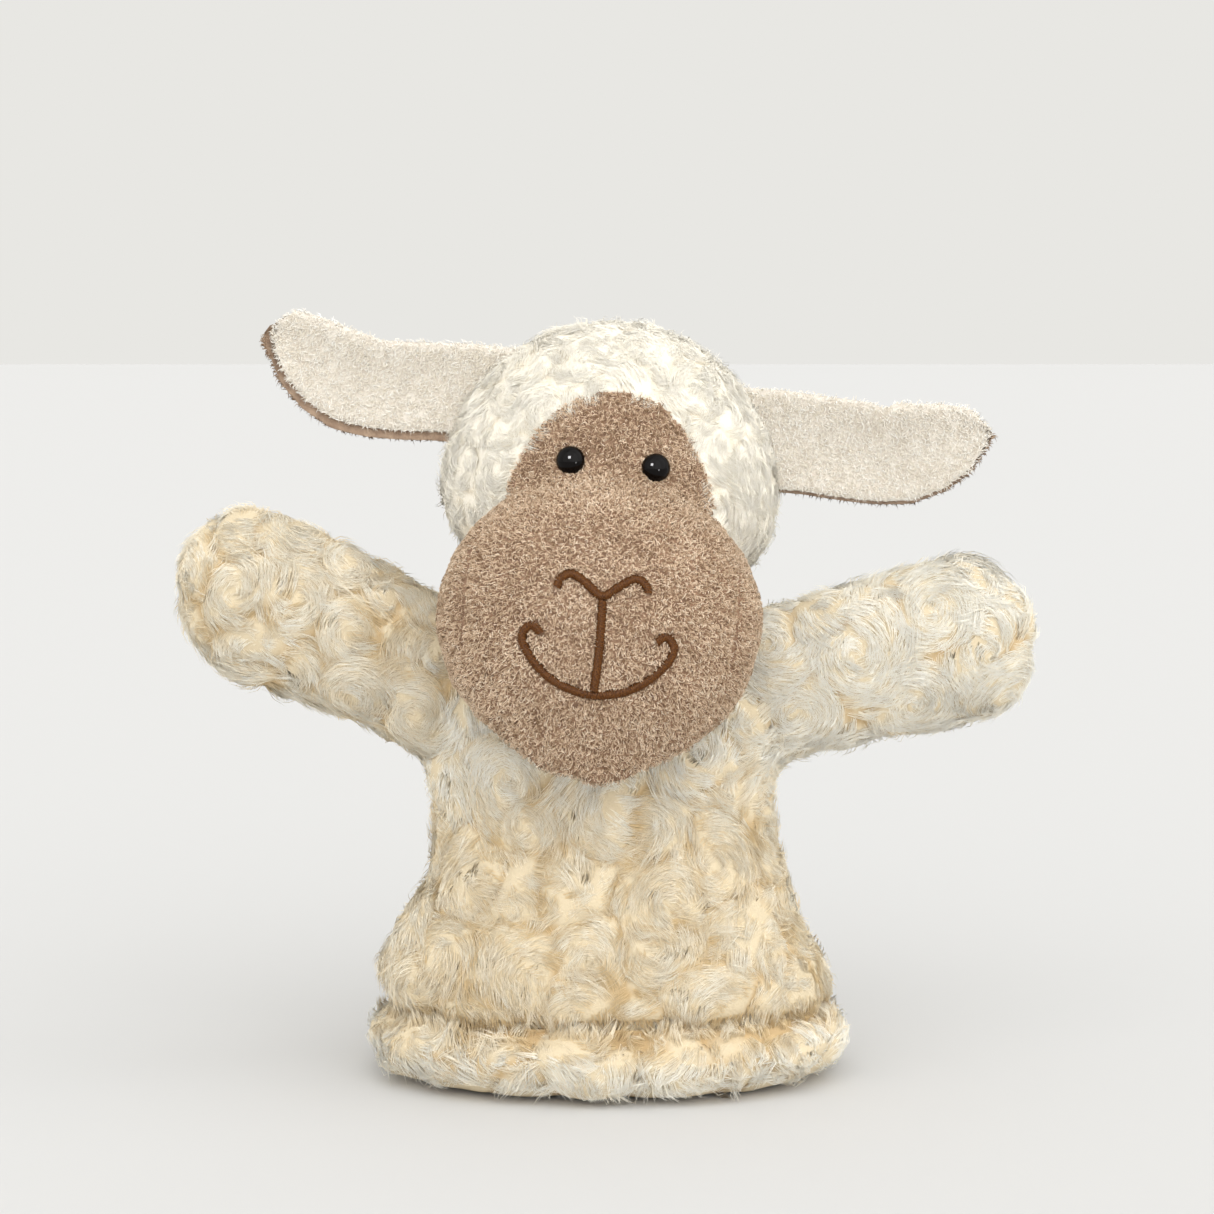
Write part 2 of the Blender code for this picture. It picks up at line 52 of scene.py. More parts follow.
# ---- sizes in millimetres, most of them the CAD model's ----

TORSO_PROFILE = [
    (24.5, 75.0, 48.0),
    (35.0, 74.5, 47.5),
    (50.0, 69.0, 45.0),
    (66.0, 61.5, 41.0),
    (80.0, 58.0, 37.0),
    (98.0, 57.0, 33.0),
    (114.0, 57.0, 30.5),
    (128.0, 56.5, 29.0),
    (139.0, 51.0, 27.5),
    (146.0, 39.0, 25.0),
    (148.5, 22.0, 20.5),
]
HEM_PROFILE = [
    (0.0, 66.0, 41.0),
    (4.0, 72.0, 46.0),
    (11.0, 76.0, 49.5),
    (18.0, 76.0, 49.5),
    (23.9, 72.5, 46.5),
]
HEM_THICKNESS = 8.5
HEM_MIDDLE = 12.2
HEM_HALF_HEIGHT = 11.4
HEM_PUFF = 2.4
HEM_FOOT = 1.3
CREASE_DEPTH = 4.5
CREASE_HEIGHT = 30.0
HANGING_HEIGHT = 33.0
TORSO_POWER = 2.3
FOOT_HEIGHT = 27.0
SHOULDER_HEIGHT = 140.0
NECK_TOP = 158.0
NECK_RINGS = [
    (25.0, 20.0, 136.0),
    (23.0, 19.0, 150.0),
    (24.0, 20.0, 158.0),
    (24.0, 20.0, 166.0),
]
NECK_ASIDE = 3.0
ARM_RADII = {"left": (25.0, 25.5, 27.5), "right": (23.5, 25.5, 25.5)}
ARM_LENGTH = {"left": 83.1, "right": 88.5}
ARM_DEPTH_RATIO = 0.80
PAW_ROUND = 26.0
ARM_SAG = {"left": 1.0, "right": 4.5}
SAG_MIDDLE = 56.0
SAG_SPREAD = 20.0
WRIST = 44.0
ARM_START = 26.0
LINING_DEPTH = 9.0
LINING_THICKNESS = 0.8
ARMHOLE_RADIUS = 19.0
NECK_SLEEVE_RADIUS = 13.6
POCKET_RADIUS = 12.2
POCKET_TOP = 54.0
POCKET_DOME = 7.2

HEAD_ROLL = 5.0
BALL_CENTRE = np.array((0.0, 0.0, 45.0))
BALL_RADII = np.array((58.0, 50.0, 59.0))
BALL_DOWN = 41.0
MUZZLE_CENTRE = np.array((0.0, -44.0, 7.0))
MUZZLE_RADII = np.array((53.0, 34.0, 47.0))
MUZZLE_DOWN = 55.0
THROAT_POINT = np.array((0.0, -47.0, -21.5))
THROAT_NORMAL = np.array((0.0, 0.857, -0.515))
FACE_ARCH = [
    (0.0, 79.5),
    (12.0, 77.0),
    (21.0, 70.0),
    (27.0, 61.0),
    (31.0, 52.0),
    (33.0, 46.0),
    (28.0, 38.0),
    (20.0, 32.0),
]
NECK_HOLE = 15.0
EYE_X = 13.4
EYE_HEIGHT = 61.2
EYE_SETTLE = 4.6
EYE_RADIUS = 4.6
EYE_DOME = 3.6
EYE_SHANK = [(1.5, 0.1), (1.5, -6.0), (1.2, -7.6), (0.2, -7.8)]

STITCH_SETTLE = 3.0
STITCH_PITCH = 0.36
STITCH_WIDTH = 1.28
STITCH_LOW = 0.15
STITCH_RISE = 1.55
STITCH_SLANT = 0.22
THREAD_RADIUS = 0.21
THREAD_SIDES = 6
NOSE_LINE = [(0.0, 20.2), (4.6, 23.4), (9.6, 26.2), (13.0, 24.6), (14.0, 22.0)]
MOUTH_LINE = [(0.0, -10.2), (9.6, -8.4), (17.0, -3.8), (22.0, 2.0), (23.2, 6.4), (20.6, 9.6), (17.8, 7.6)]
LIP_LINE = [(0.2, 18.8), (0.6, 5.0), (0.0, -8.8)]

EAR_OUTLINE = [
    (0.0, 17.0, 17.0),
    (12.0, 17.3, 17.8),
    (26.0, 17.5, 18.5),
    (40.0, 17.5, 18.0),
    (52.0, 17.0, 14.0),
    (61.0, 15.0, 8.0),
    (66.5, 10.5, 1.0),
]
EAR_TUCK = 10.0
EAR_TIP = 8.0
EAR_SLANT = 9.0
EAR_RIPPLE = 0.9
EAR_PUFF = 2.3
EAR_GAP = 0.15
EAR_NOTCH = {"along": 36.0, "width": 2.2, "depth": 1.6}
EAR_GRID = (44, 30)
EARS = {
    "left": {
        "root": 55.0,
        "middle": 69.5,
        "width": 1.06,
        "length": 1.02,
        "curl": 4.0,
        "trim": (3.5, 6.0, 5.0),
        "show": 1.0,
    },
    "right": {
        "root": 51.5,
        "middle": 76.5,
        "width": 0.94,
        "length": 0.95,
        "curl": 8.0,
        "trim": (2.5, 6.0, 1.0),
        "show": 3.2,
    },
}

# ---- sizes of the cloth and its pile ----

BODY_VOXEL = 4.0
HEAD_VOXEL = 3.2
SKIN_THICKNESS = 1.2
TORSO_DRAW_IN = 1.8
ARM_DRAW_IN = -0.6
BALL_DRAW_IN = 2.6
MUZZLE_DRAW_IN = 2.2
THROAT_DRAW_IN = 2.5
EYE_DRAW_IN = 2.5
EYE_ROOT = 4.0
DART_SIDE = 41.0
DART_WIDTH = 1.4
DART_DEPTH = 1.0
MUZZLE_POINT = 6.0
MUZZLE_POINT_WIDTH = 26.0
CHIN_ROUNDING = 3.5
BODY_SWELL = 4.0
HEAD_SWELL = 2.2
CLOTH_FRAMES = 20
CLOTH_SETTINGS = {
    "quality": 5,
    "mass": 0.15,
    "tension_stiffness": 12.0,
    "compression_stiffness": 12.0,
    "bending_stiffness": 0.4,
    "use_pressure": True,
    "uniform_pressure_force": 4.0,
    "vertex_group_mass": "seams",
}

GLOVE_ROSETTES = {"spacing": 23.0, "depth": 2.0, "seed": 11}
HEM_ROSETTES = {"spacing": 24.0, "depth": 2.8, "seed": 12}
CROWN_ROSETTES = {"spacing": 15.0, "depth": 1.1, "seed": 13}
MOUND_MIDDLE = 0.55
SWIRL_EYE = 3.2
FLOW_STEPS = 8

GLOVE_FLEECE = {"density": 2.0, "length": 9.5, "lift": 0.8, "seed": 21}
HEM_FLEECE = {"density": 2.2, "length": 9.0, "lift": 0.9, "seed": 22}
CROWN_FLEECE = {"density": 2.0, "length": 6.5, "lift": 0.8, "seed": 23}
FIBRES_PER_LOCK = 24
GATHER = np.array((0.0, 0.12, 0.34))
COMBED_LENGTH = 0.62
STRAY_SHARE = 0.12
STRAY_RISE = 2.6
# Strand tones: where rosettes part, strands are darker, partly the fleece's ochre and partly painted shade.
PARTING_OCHRE_AND_SHADE = 0.42
MOUND_TONE = 0.45
# Painted light: front torso strands lighter under the muzzle, where its shadow falls.
UNDER_MUZZLE_PAINTED_LIGHT = 0.3
# Painted shade: torso strands darker down in the hem's crease.
IN_CREASE_PAINTED_SHADE = 0.36
# Painted shade: the hem's top strands, under the torso's overhang, darker.
UNDER_CREASE_PAINTED_SHADE = 0.42
HEM_TONE = 0.06
CROWN_TONE = 0.18
LOWEST_STRAND = 0.35
FLEECE_RADIUS = 0.12
FLEECE_SOFTNESS = 0.5

PLUSH = {
    "face": {"density": 3.6, "tone": -0.10, "halved_at": 60.0},
    "muzzle": {"density": 3.2, "tone": 0.0, "halved_at": 5.0},
    "chin": {"density": 1.5, "tone": 0.0, "halved_at": -20.0},
}
PLUSH_LENGTH = 1.4
PLUSH_RADIUS = 0.19
EAR_PLUSH_DENSITY = 2.0
EAR_PLUSH_LENGTH = 1.5
EAR_PLUSH_RADIUS = 0.20
PLUSH_SOFTNESS = 0.35
BROADNESS = 2.0

ARM_BLEND = (-12.0, 20.0)
PAW_BLEND = (34.0, 54.0)
NECK_BLEND = (146.0, 157.0)

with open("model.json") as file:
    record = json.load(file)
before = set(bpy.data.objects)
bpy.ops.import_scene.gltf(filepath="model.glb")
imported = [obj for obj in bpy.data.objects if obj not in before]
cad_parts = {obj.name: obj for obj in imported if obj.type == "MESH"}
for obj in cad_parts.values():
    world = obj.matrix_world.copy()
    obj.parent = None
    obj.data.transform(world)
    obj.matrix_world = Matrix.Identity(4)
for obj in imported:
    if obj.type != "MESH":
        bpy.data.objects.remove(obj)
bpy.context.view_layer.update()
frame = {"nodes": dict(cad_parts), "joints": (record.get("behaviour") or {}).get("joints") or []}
JOINTS = {joint["name"]: joint for joint in frame["joints"]}


# ---- frames ----


def joint_point(name):
    return Vector(JOINTS[name]["pos_m"]) / MM


def middle_y():
    """The plane between the torso's front and back panels."""
    low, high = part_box("body_lining")
    return (low.y + high.y) / 2 / MM


def torso_frame():
    return Matrix.Translation(Vector((0.0, middle_y(), 0.0)))


def head_frame():
    return Matrix.Translation(joint_point("head_nod")) @ Matrix.Rotation(math.radians(HEAD_ROLL), 4, "Y")


def arm_frame(side):
    """+X runs out along the arm from the shoulder, +Y back and +Z up."""
    shoulder = joint_point(f"{side}_arm_raise")
    along = joint_point(f"{side}_paw_bend") - shoulder
    along.y = 0.0
    along.normalize()
    up = Vector((-along.z, 0.0, along.x)) * SIDES[side]
    turn = Matrix((along, Vector((0.0, 1.0, 0.0)), up)).transposed().to_4x4()
    return Matrix.Translation(shoulder) @ turn


def move(points, matrix):
    values = np.array(matrix)
    return points @ values[:3, :3].T + values[:3, 3]


def local(points, matrix):
    return move(points, matrix.inverted())


def unit(vectors):
    return vectors / np.maximum(np.linalg.norm(vectors, axis=-1, keepdims=True), 1e-9)


def wobble(points, size, seed):
    """Smooth noise from about -1 to 1 that changes over the given size."""
    rng = np.random.default_rng(seed)
    total = np.zeros(len(points))
    waves = 7
    for _ in range(waves):
        direction = unit(rng.normal(size=3)) * 2 * math.pi / (size * rng.uniform(0.8, 1.7))
        total += np.sin(points @ direction + rng.uniform(0, 2 * math.pi))
    return total / math.sqrt(waves / 2) / 1.6


# ---- surfaces ----


class Surface:
    """Four-cornered faces over points, with the points' normals.

    broad keeps the normals from before any small relief, which fine fibres are shaded by.
    """

    def __init__(self, mesh):
        count = len(mesh.vertices)
        points = np.empty(count * 3)
        normals = np.empty(count * 3)
        mesh.vertices.foreach_get("co", points)
        mesh.vertices.foreach_get("normal", normals)
        self.points = points.reshape(-1, 3) / MM
        self.normals = normals.reshape(-1, 3)
        self.faces = np.array([tuple(p.vertices) for p in mesh.polygons if len(p.vertices) == 4])
        self.broad = self.normals

    def centres(self):
        return self.points[self.faces].mean(axis=1)

    def face_normals(self):
        return self.normals[self.faces].mean(axis=1)

    def find_normals(self):
        corners = self.points[self.faces]
        across = np.cross(corners[:, 2] - corners[:, 0], corners[:, 3] - corners[:, 1])
        self.normals = np.zeros_like(self.points)
        for i in range(4):
            np.add.at(self.normals, self.faces[:, i], across)
        self.normals = unit(self.normals)

    def tree(self):
        return BVHTree.FromPolygons(self.points.tolist(), self.faces.tolist())


def linked(name, data):
    """A new object in the scene."""
    obj = bpy.data.objects.new(name, data)
    bpy.context.scene.collection.objects.link(obj)
    return obj


def set_points(mesh, points):
    mesh.vertices.foreach_set("co", (points * MM).astype(np.float32).ravel())


def mesh_object(name, points, faces, materials, slots=None):
    """A smooth mesh object from arrays in millimetres. Its faces all have the same number of corners."""
    mesh = bpy.data.meshes.new(name)
    count, corners = faces.shape
    mesh.vertices.add(len(points))
    set_points(mesh, points)
    mesh.loops.add(count * corners)
    mesh.loops.foreach_set("vertex_index", faces.astype(np.int32).ravel())
    mesh.polygons.add(count)
    mesh.polygons.foreach_set("loop_start", np.arange(0, count * corners, corners, dtype=np.int32))
    for material in materials:
        mesh.materials.append(material)
    if slots is not None:
        mesh.polygons.foreach_set("material_index", slots.astype(np.int32))
    mesh.update(calc_edges=True)
    mesh.shade_smooth()
    return linked(name, mesh)


def loft(rows, capped=True):
    """Closed rings of points joined in order, as (points, faces with three or more corners)."""
    around = len(rows[0])
    points = np.concatenate(rows)
    faces = []
    for r in range(len(rows) - 1):
        for i in range(around):
            j = (i + 1) % around
            faces.append((r * around + i, r * around + j, (r + 1) * around + j, (r + 1) * around + i))
    if capped:
        faces.append(tuple(range(around))[::-1])
        faces.append(tuple((len(rows) - 1) * around + i for i in range(around)))
    return points, faces


def oval(half_width, half_depth, power, around):
    angles = np.linspace(0, 2 * math.pi, around, endpoint=False)
    c, s = np.cos(angles), np.sin(angles)
    across = np.sign(c) * np.abs(c) ** (2 / power) * half_width
    deep = np.sign(s) * np.abs(s) ** (2 / power) * half_depth
    return across, deep


def ring(half_width, half_depth, height, power=2.0, around=48):
    """An oval's points at one height."""
    return np.stack([*oval(half_width, half_depth, power, around), np.full(around, height)], axis=1)


def shell_mesh(name, shells):
    """A mesh of closed shells, each (points, faces, matrix), with their faces outwards."""
    bm = bmesh.new()
    for points, faces, matrix in shells:
        verts = [bm.verts.new(Vector(p) * MM) for p in move(points, matrix)]
        for face in faces:
            bm.faces.new([verts[i] for i in face])
    bmesh.ops.recalc_face_normals(bm, faces=bm.faces)
    mesh = bpy.data.meshes.new(name)
    bm.to_mesh(mesh)
    bm.free()
    return mesh


def turn_outwards(mesh):
    """Turns a mesh's faces so that they all look the same way, outwards where it is closed."""
    bm = bmesh.new()
    bm.from_mesh(mesh)
    bmesh.ops.recalc_face_normals(bm, faces=bm.faces)
    bm.to_mesh(mesh)
    bm.free()


def union(name, shells, voxel, smoothing):
    """One closed surface round overlapping closed shells."""
    obj = linked(name, shell_mesh(name, shells))
    remesh = obj.modifiers.new("remesh", "REMESH")
    remesh.mode = "VOXEL"
    remesh.voxel_size = voxel * MM
    smooth = obj.modifiers.new("smooth", "SMOOTH")
    smooth.factor = 0.5
    smooth.iterations = smoothing
    settle_modifiers(obj)
    return obj


def settle_modifiers(obj):
    """Puts what the modifiers make into the object's own mesh."""
    evaluated = obj.evaluated_get(bpy.context.evaluated_depsgraph_get())
    made = bpy.data.meshes.new_from_object(evaluated)
    obj.modifiers.clear()
    obj.data = made


def swell(obj, pinned, most):
    """Cloth under pressure between its pinned seams, with no point moved further than most."""
    before = Surface(obj.data).points
    seams = obj.vertex_groups.new(name="seams")
    seams.add(np.flatnonzero(pinned).tolist(), 1.0, "REPLACE")
    cloth = obj.modifiers.new("cloth", "CLOTH")
    for setting, value in CLOTH_SETTINGS.items():
        setattr(cloth.settings, setting, value)
    cloth.settings.effector_weights.gravity = 0.0
    cloth.point_cache.frame_start = 1
    cloth.point_cache.frame_end = CLOTH_FRAMES
    for step in range(1, CLOTH_FRAMES + 1):
        bpy.context.scene.frame_set(step)
    settle_modifiers(obj)
    bpy.context.scene.frame_set(1)
    after = Surface(obj.data).points
    moved = after - before
    far = np.linalg.norm(moved, axis=1, keepdims=True)
    moved *= np.minimum(1.0, most / np.maximum(far, 1e-9))
    set_points(obj.data, before + moved)
    obj.data.update()


def subdivided(obj):
    """The object's surface after one subdivision. The object goes."""
    obj.modifiers.new("subdivide", "SUBSURF").levels = 1
    settle_modifiers(obj)
    surface = Surface(obj.data)
    bpy.data.objects.remove(obj)
    return surface


def keep_heights(obj, heights):
    """Leaves the pile's heights on the mesh for the backing's colour, which is darker where they are low,
    partly as painted shade.
    """
    attribute = obj.data.attributes.new("pile_height", "FLOAT", "POINT")
    attribute.data.foreach_set("value", heights.astype(np.float32))


def panel(name, surface, chosen, material, heights):
    """The chosen faces of a surface as one piece of cloth with thickness."""
    faces = surface.faces[chosen]
    used, renumbered = np.unique(faces, return_inverse=True)
    obj = mesh_object(name, surface.points[used], renumbered.reshape(faces.shape), [material])
    keep_heights(obj, heights[used])
    thicken(obj, SKIN_THICKNESS)
    return obj


def thicken(obj, thickness):
    solidify = obj.modifiers.new("cloth_thickness", "SOLIDIFY")
    solidify.thickness = thickness * MM
    solidify.offset = -1.0


# ---- pile ----


def scatter(surface, chosen, density, rng):
    """Roots spread evenly over the chosen faces: their places, normals and softened normals to shade by."""
    faces = surface.faces[chosen]
    triangles = np.concatenate([faces[:, [0, 1, 2]], faces[:, [0, 2, 3]]])
    a, b, c = (surface.points[triangles[:, i]] for i in range(3))
    areas = np.linalg.norm(np.cross(b - a, c - a), axis=1) / 2
    counts = np.floor(areas * density + rng.random(len(areas))).astype(int)
    index = np.repeat(np.arange(len(triangles)), counts)
    u, v = rng.random(len(index)), rng.random(len(index))
    over = u + v > 1
    u[over], v[over] = 1 - u[over], 1 - v[over]
    weights = np.stack([1 - u - v, u, v], axis=1)[:, :, None]
    corners = triangles[index]
    places = (surface.points[corners] * weights).sum(axis=1)
    normals = unit((surface.normals[corners] * weights).sum(axis=1))
    broad = unit((surface.broad[corners] * weights).sum(axis=1))
    return places, normals, unit(normals + broad * BROADNESS)


def circles_round(paths, aside, sides):
    """Unit offsets to a many-sided circle round each point of the paths, none of which run along aside."""
    along = unit(np.gradient(paths, axis=1))
    side = unit(np.cross(along, np.array(aside)))
    up = np.cross(side, along)
    turns = 2 * math.pi * np.arange(sides) / sides
    return np.cos(turns)[:, None] * side[:, :, None] + np.sin(turns)[:, None] * up[:, :, None]


def strand_mesh(name, paths, radius, shades, materials, normals, softness, root_step=0):
    """Closed tapered hairs, three-sided. paths is (strands, points, 3) and ends at each tip.

    Softness is how far they're shaded as the surface under them, since fine fibres pass light on.
    Towards its root each is root_step shades darker.
    """
    count, points = paths.shape[:2]
    rings = points - 1
    offsets = circles_round(paths, (0.31, 0.22, 0.92), 3)[:, :rings]
    taper = np.linspace(1.0, 0.75, rings)[:, None, None]
    circles = paths[:, :rings, None] + radius[:, None, None, None] * taper * offsets
    verts = np.concatenate([circles.reshape(count, rings * 3, 3), paths[:, -1:, :]], axis=1)
    pattern = [(0, 1, 2)]
    for r in range(rings):
        for k in range(3):
            a, b = 3 * r + k, 3 * r + (k + 1) % 3
            if r == rings - 1:
                pattern.append((a, 3 * rings, b))
            else:
                pattern += [(a, b + 3, b), (a, a + 3, b + 3)]
    pattern = np.array(pattern)
    near_root = pattern.min(axis=1) < 3 * (rings - 1)
    faces = pattern + (np.arange(count) * (3 * rings + 1))[:, None, None]
    slots = np.maximum(shades[:, None] - root_step * near_root, 0).ravel()
    obj = mesh_object(name, verts.reshape(-1, 3), faces.reshape(-1, 3), materials, slots)
    own = np.concatenate([offsets.reshape(count, rings * 3, 3), normals[:, None]], axis=1)
    shading = unit(own * (1 - softness) + normals[:, None] * softness)
    attribute = obj.data.attributes.new("custom_normal", "FLOAT_VECTOR", "POINT")
    attribute.data.foreach_set("vector", shading.astype(np.float32).ravel())
    return obj


def nearest_two(points, centres, reach):
    """Each point's nearest centre, its distance, and how much further the next one is.

    The larger its reach, the less ground a centre wins.
    """
    found, near, gap = [], [], []
    for part in np.array_split(points, len(points) // 8000 + 1):
        distances = np.linalg.norm(part[:, None, :] - centres[None], axis=2) + reach[None, :]
        order = np.argpartition(distances, 1, axis=1)[:, :2]
        two = np.take_along_axis(distances, order, axis=1)
        first = np.argmin(two, axis=1)
        rows = np.arange(len(part))
        found.append(order[rows, first])
        near.append(two[rows, first])
        gap.append(two[rows, 1 - first] - two[rows, first])
    return np.concatenate(found), np.concatenate(near), np.concatenate(gap)


def spread_centres(surface, spacing, rng):
    """Rosette middles at least the spacing apart, with the surface's normal at each."""
    order = rng.permutation(len(surface.points))
    kept = []
    for i in order:
        point = surface.points[i]
        if not kept or np.min(np.linalg.norm(surface.points[kept] - point, axis=1)) > spacing:
            kept.append(i)
    return surface.points[kept], surface.normals[kept]


def bent(points, spacing, seed):
    """The points moved a little, so that rosettes aren't all of one shape."""
    shift = np.stack([wobble(points, spacing * 1.3, seed + i) for i in range(3)], axis=1)
    return points + shift * spacing * 0.2


class Rosettes:
    """Swirled mounds of fleece: heights over the surface, and how strands lie round each mound's middle."""

    def __init__(self, surface, spacing, depth, seed):
        self.spacing, self.depth, self.seed = spacing, depth, seed
        rng = np.random.default_rng(seed)
        self.centres, self.normals = spread_centres(surface, spacing * 0.82, rng)
        self.hand = np.where(rng.random(len(self.centres)) < 0.75, 1.0, -1.0)
        self.height = rng.uniform(0.7, 1.25, len(self.centres))
        self.swirl = rng.uniform(0.25, 0.95, len(self.centres))
        self.reach = rng.uniform(0.0, 0.4, len(self.centres)) * spacing

    def nearest(self, points):
        return nearest_two(bent(points, self.spacing, self.seed), self.centres, self.reach)

    def lift(self, heights):
        """How far the skin stands out, in millimetres, for heights from heights()."""
        return (heights - MOUND_MIDDLE) * self.depth

    def heights(self, points):
        """From 0 in a crease to about 1 on a mound, with a dimple at its middle."""
        found, near, gap = self.nearest(points)
        mound = 1 - np.exp(-((gap / (self.spacing * 0.22)) ** 1.4))
        dimple = 0.12 * np.exp(-(((near - self.reach[found]) / (self.spacing * 0.13)) ** 2))
        offset = points - self.centres[found]
        angle = np.arctan2((offset * self.tangent(found)).sum(1), (offset * self.other(found)).sum(1))
        spiral = 0.10 * np.cos(2 * angle - self.hand[found] * near * 5.5 / self.spacing * 2.0)
        return (mound - dimple) * self.height[found] + spiral * mound

    def parting(self, points):
        """From 0 along the lines where rosettes part to 1 everywhere else."""
        _, _, gap = self.nearest(points)
        uneven = 1 + 0.7 * wobble(points, self.spacing * 0.6, self.seed + 60)
        return 1 - np.exp(-((gap / (self.spacing * 0.085 * np.maximum(uneven, 0.15))) ** 1.3))

    def tangent(self, found):
        return unit(np.cross(self.normals[found], np.array((0.2, 0.3, 0.93))))

    def other(self, found):
        return np.cross(self.normals[found], self.tangent(found))

    def lay(self, roots, lengths, rng, combed):
        """Lines of three points that sweep round each root's rosette and drift with the nap.

        combed is 0 for the usual nap, -1 where strands hang straight down and 1 where they stand up.
        """
        found, _, _ = self.nearest(roots)
        axis, centre, hand = self.normals[found], self.centres[found], self.hand[found][:, None]
        swirl = np.where(combed == 0, self.swirl[found], 0.15)[:, None]
        drift = np.stack([wobble(roots, 34.0, self.seed + 40 + i) for i in range(3)], axis=1) * 0.9
        nap = np.where(combed == 0, -0.8, combed * 2.2)
        drift[:, 2] += nap
        drift = unit(drift + rng.normal(0, 0.5, drift.shape))
        place, line = roots, [roots]
        for _ in range(FLOW_STEPS):
            offset = place - centre
            away = np.linalg.norm(offset, axis=1, keepdims=True)
            turn = swirl * (1 - np.exp(-((away / SWIRL_EYE) ** 2)))
            heading = unit(np.cross(axis, offset)) * hand * turn + drift * (1 - turn) + unit(offset) * 0.12
            place = place + unit(heading) * (lengths / FLOW_STEPS)[:, None]
            line.append(place)
        return np.stack([line[0], line[FLOW_STEPS // 2], line[-1]], axis=1)


def locks_of(roots, count, rng):
    """Gathers roots into that many locks: each lock's leading root, and each root's lock."""
    leaders = rng.choice(len(roots), count, replace=False)
    tree = kdtree.KDTree(count)
    for i, leader in enumerate(leaders):
        tree.insert(roots[leader], i)
    tree.balance()
    return leaders, np.array([tree.find(root)[1] for root in roots])


def over_surface(paths, tree, lifts):
    """Puts each strand's points after its root that far above the surface under them."""
    laid = paths.copy()
    for step in range(1, paths.shape[1]):
        for i, point in enumerate(paths[:, step].tolist()):
            place, normal, _, _ = tree.find_nearest(point)
            if place is not None:
                laid[i, step] = place + normal * lifts[i, step]
    return laid


def grow_fleece(
    surface,
    rosettes,
    chosen,
    density,
    length,
    lift,
    seed,
    combed=None,
    free_below=-1.0,
    free_above=math.inf,
):
    """Locks of long strands over rosettes: (paths, normals, tones), with tones from 0, dark, to 1, light.

    combed gives the nap of each root, as lay() takes it. Points below free_below or above free_above
    keep the height that they have, and the others lie on the surface.
    """
    rng = np.random.default_rng(seed)
    roots, normals, shading = scatter(surface, chosen, density, rng)
    count = len(roots)
    leaders, lock = locks_of(roots, count // FIBRES_PER_LOCK, rng)
    lock_lengths = length * rng.uniform(0.65, 1.3, len(leaders))
    nap = np.zeros(len(leaders)) if combed is None else combed(roots[leaders])
    lock_lengths = lock_lengths * np.where(nap == 0, 1.0, COMBED_LENGTH)
    lines = rosettes.lay(roots[leaders], lock_lengths, rng, nap)
    sweep = (lines - lines[:, :1])[lock] * rng.uniform(0.75, 1.1, count)[:, None, None]
    gather = (roots - roots[leaders][lock])[:, None] * GATHER[:, None]
    jitter = rng.normal(0, 0.07, (count, 1, 3)) * length * np.array((0.0, 0.5, 1.0))[:, None]
    paths = roots[:, None] + sweep - gather + jitter
    stray = rng.random(count) < STRAY_SHARE
    rise = lift * rng.uniform(0.35, 1.6, len(leaders))[lock] * rng.uniform(0.7, 1.2, count)
    rise = rise * np.where(stray, STRAY_RISE, 1.0)
    lifts = np.stack([np.zeros(count), rise * 0.7, rise], axis=1)
    heights = paths[:, :, 2]
    paths = over_surface(paths, surface.tree(), lifts)
    free = (heights < free_below) | (heights > free_above)
    paths[:, :, 2] = np.where(free, heights, paths[:, :, 2])
    paths[:, 0] = roots - normals * 0.3
    lock_tone = rng.normal(0, 0.07, len(leaders))[lock]
    # Darker along the partings: partly the fleece's ochre, partly painted shade.
    tones = rosettes.parting(roots) * MOUND_TONE + PARTING_OCHRE_AND_SHADE + lock_tone + rng.normal(0, 0.04, count)
    return paths, shading, tones


def grow_plush(surface, chosen, density, length, lean, seed, avoid=None):
    """Short curled strands: (paths, normals, tones)."""
    rng = np.random.default_rng(seed)
    roots, normals, shading = scatter(surface, chosen, density, rng)
    if avoid is not None:
        kept = ~avoid(roots)
        roots, normals, shading = roots[kept], normals[kept], shading[kept]
    count = len(roots)
    swirl = np.stack([wobble(roots, 1.5, seed + 10 + i) for i in range(3)], axis=1)
    direction = swirl + rng.normal(0, 0.45, (count, 3)) + np.array(lean)
    direction = unit(direction - (direction * normals).sum(1, keepdims=True) * normals)
    turn = np.cross(normals, direction) * rng.normal(0, 0.6, (count, 1))
    lengths = (length * rng.uniform(0.7, 1.3, count))[:, None]
    middle = roots + normals * lengths * 0.62 + direction * lengths * 0.30
    tip = roots + normals * lengths * 0.72 + (direction + turn) * lengths * 0.85
    paths = np.stack([roots - normals * 0.25, middle, tip], axis=1)
    tones = 0.5 + 0.20 * wobble(roots, 1.2, seed + 20) + 0.06 * wobble(roots, 14.0, seed + 30)
    tones = tones + rng.normal(0, 0.2, count)
    return paths, shading, tones


def quarters(places, height):
    """Masks for the upper and lower halves of each side, so that no piece of pile grows too large."""
    left, upper = places[:, 0] > 0, places[:, 2] > height
    return {
        "left_upper": left & upper,
        "left_lower": left & ~upper,
        "right_upper": ~left & upper,
        "right_lower": ~left & ~upper,
    }


class Pile:
    """Grown strands, from which pieces are cut."""

    def __init__(self, grown, shades, radius, thickest, seed):
        self.paths, self.normals, self.tones = grown
        self.roots = self.paths[:, 0]
        self.shades = shades
        self.radius = radius * np.random.default_rng(seed).uniform(0.8, thickest, len(self.paths))

    def piece(self, name, chosen, softness, root_step=0):
        count = len(self.shades)
        index = np.clip((self.tones[chosen] * count).astype(int), 0, count - 1)
        strands = (self.paths[chosen], self.radius[chosen], index, self.shades, self.normals[chosen])
        return strand_mesh(name, *strands, softness, root_step)


# ---- materials ----


def linear(colour):
    """Screen colour from 0 to 255 as linear values."""
    return [((c / 255 + 0.055) / 1.055) ** 2.4 if c > 10 else c / 255 / 12.92 for c in colour] + [1.0]


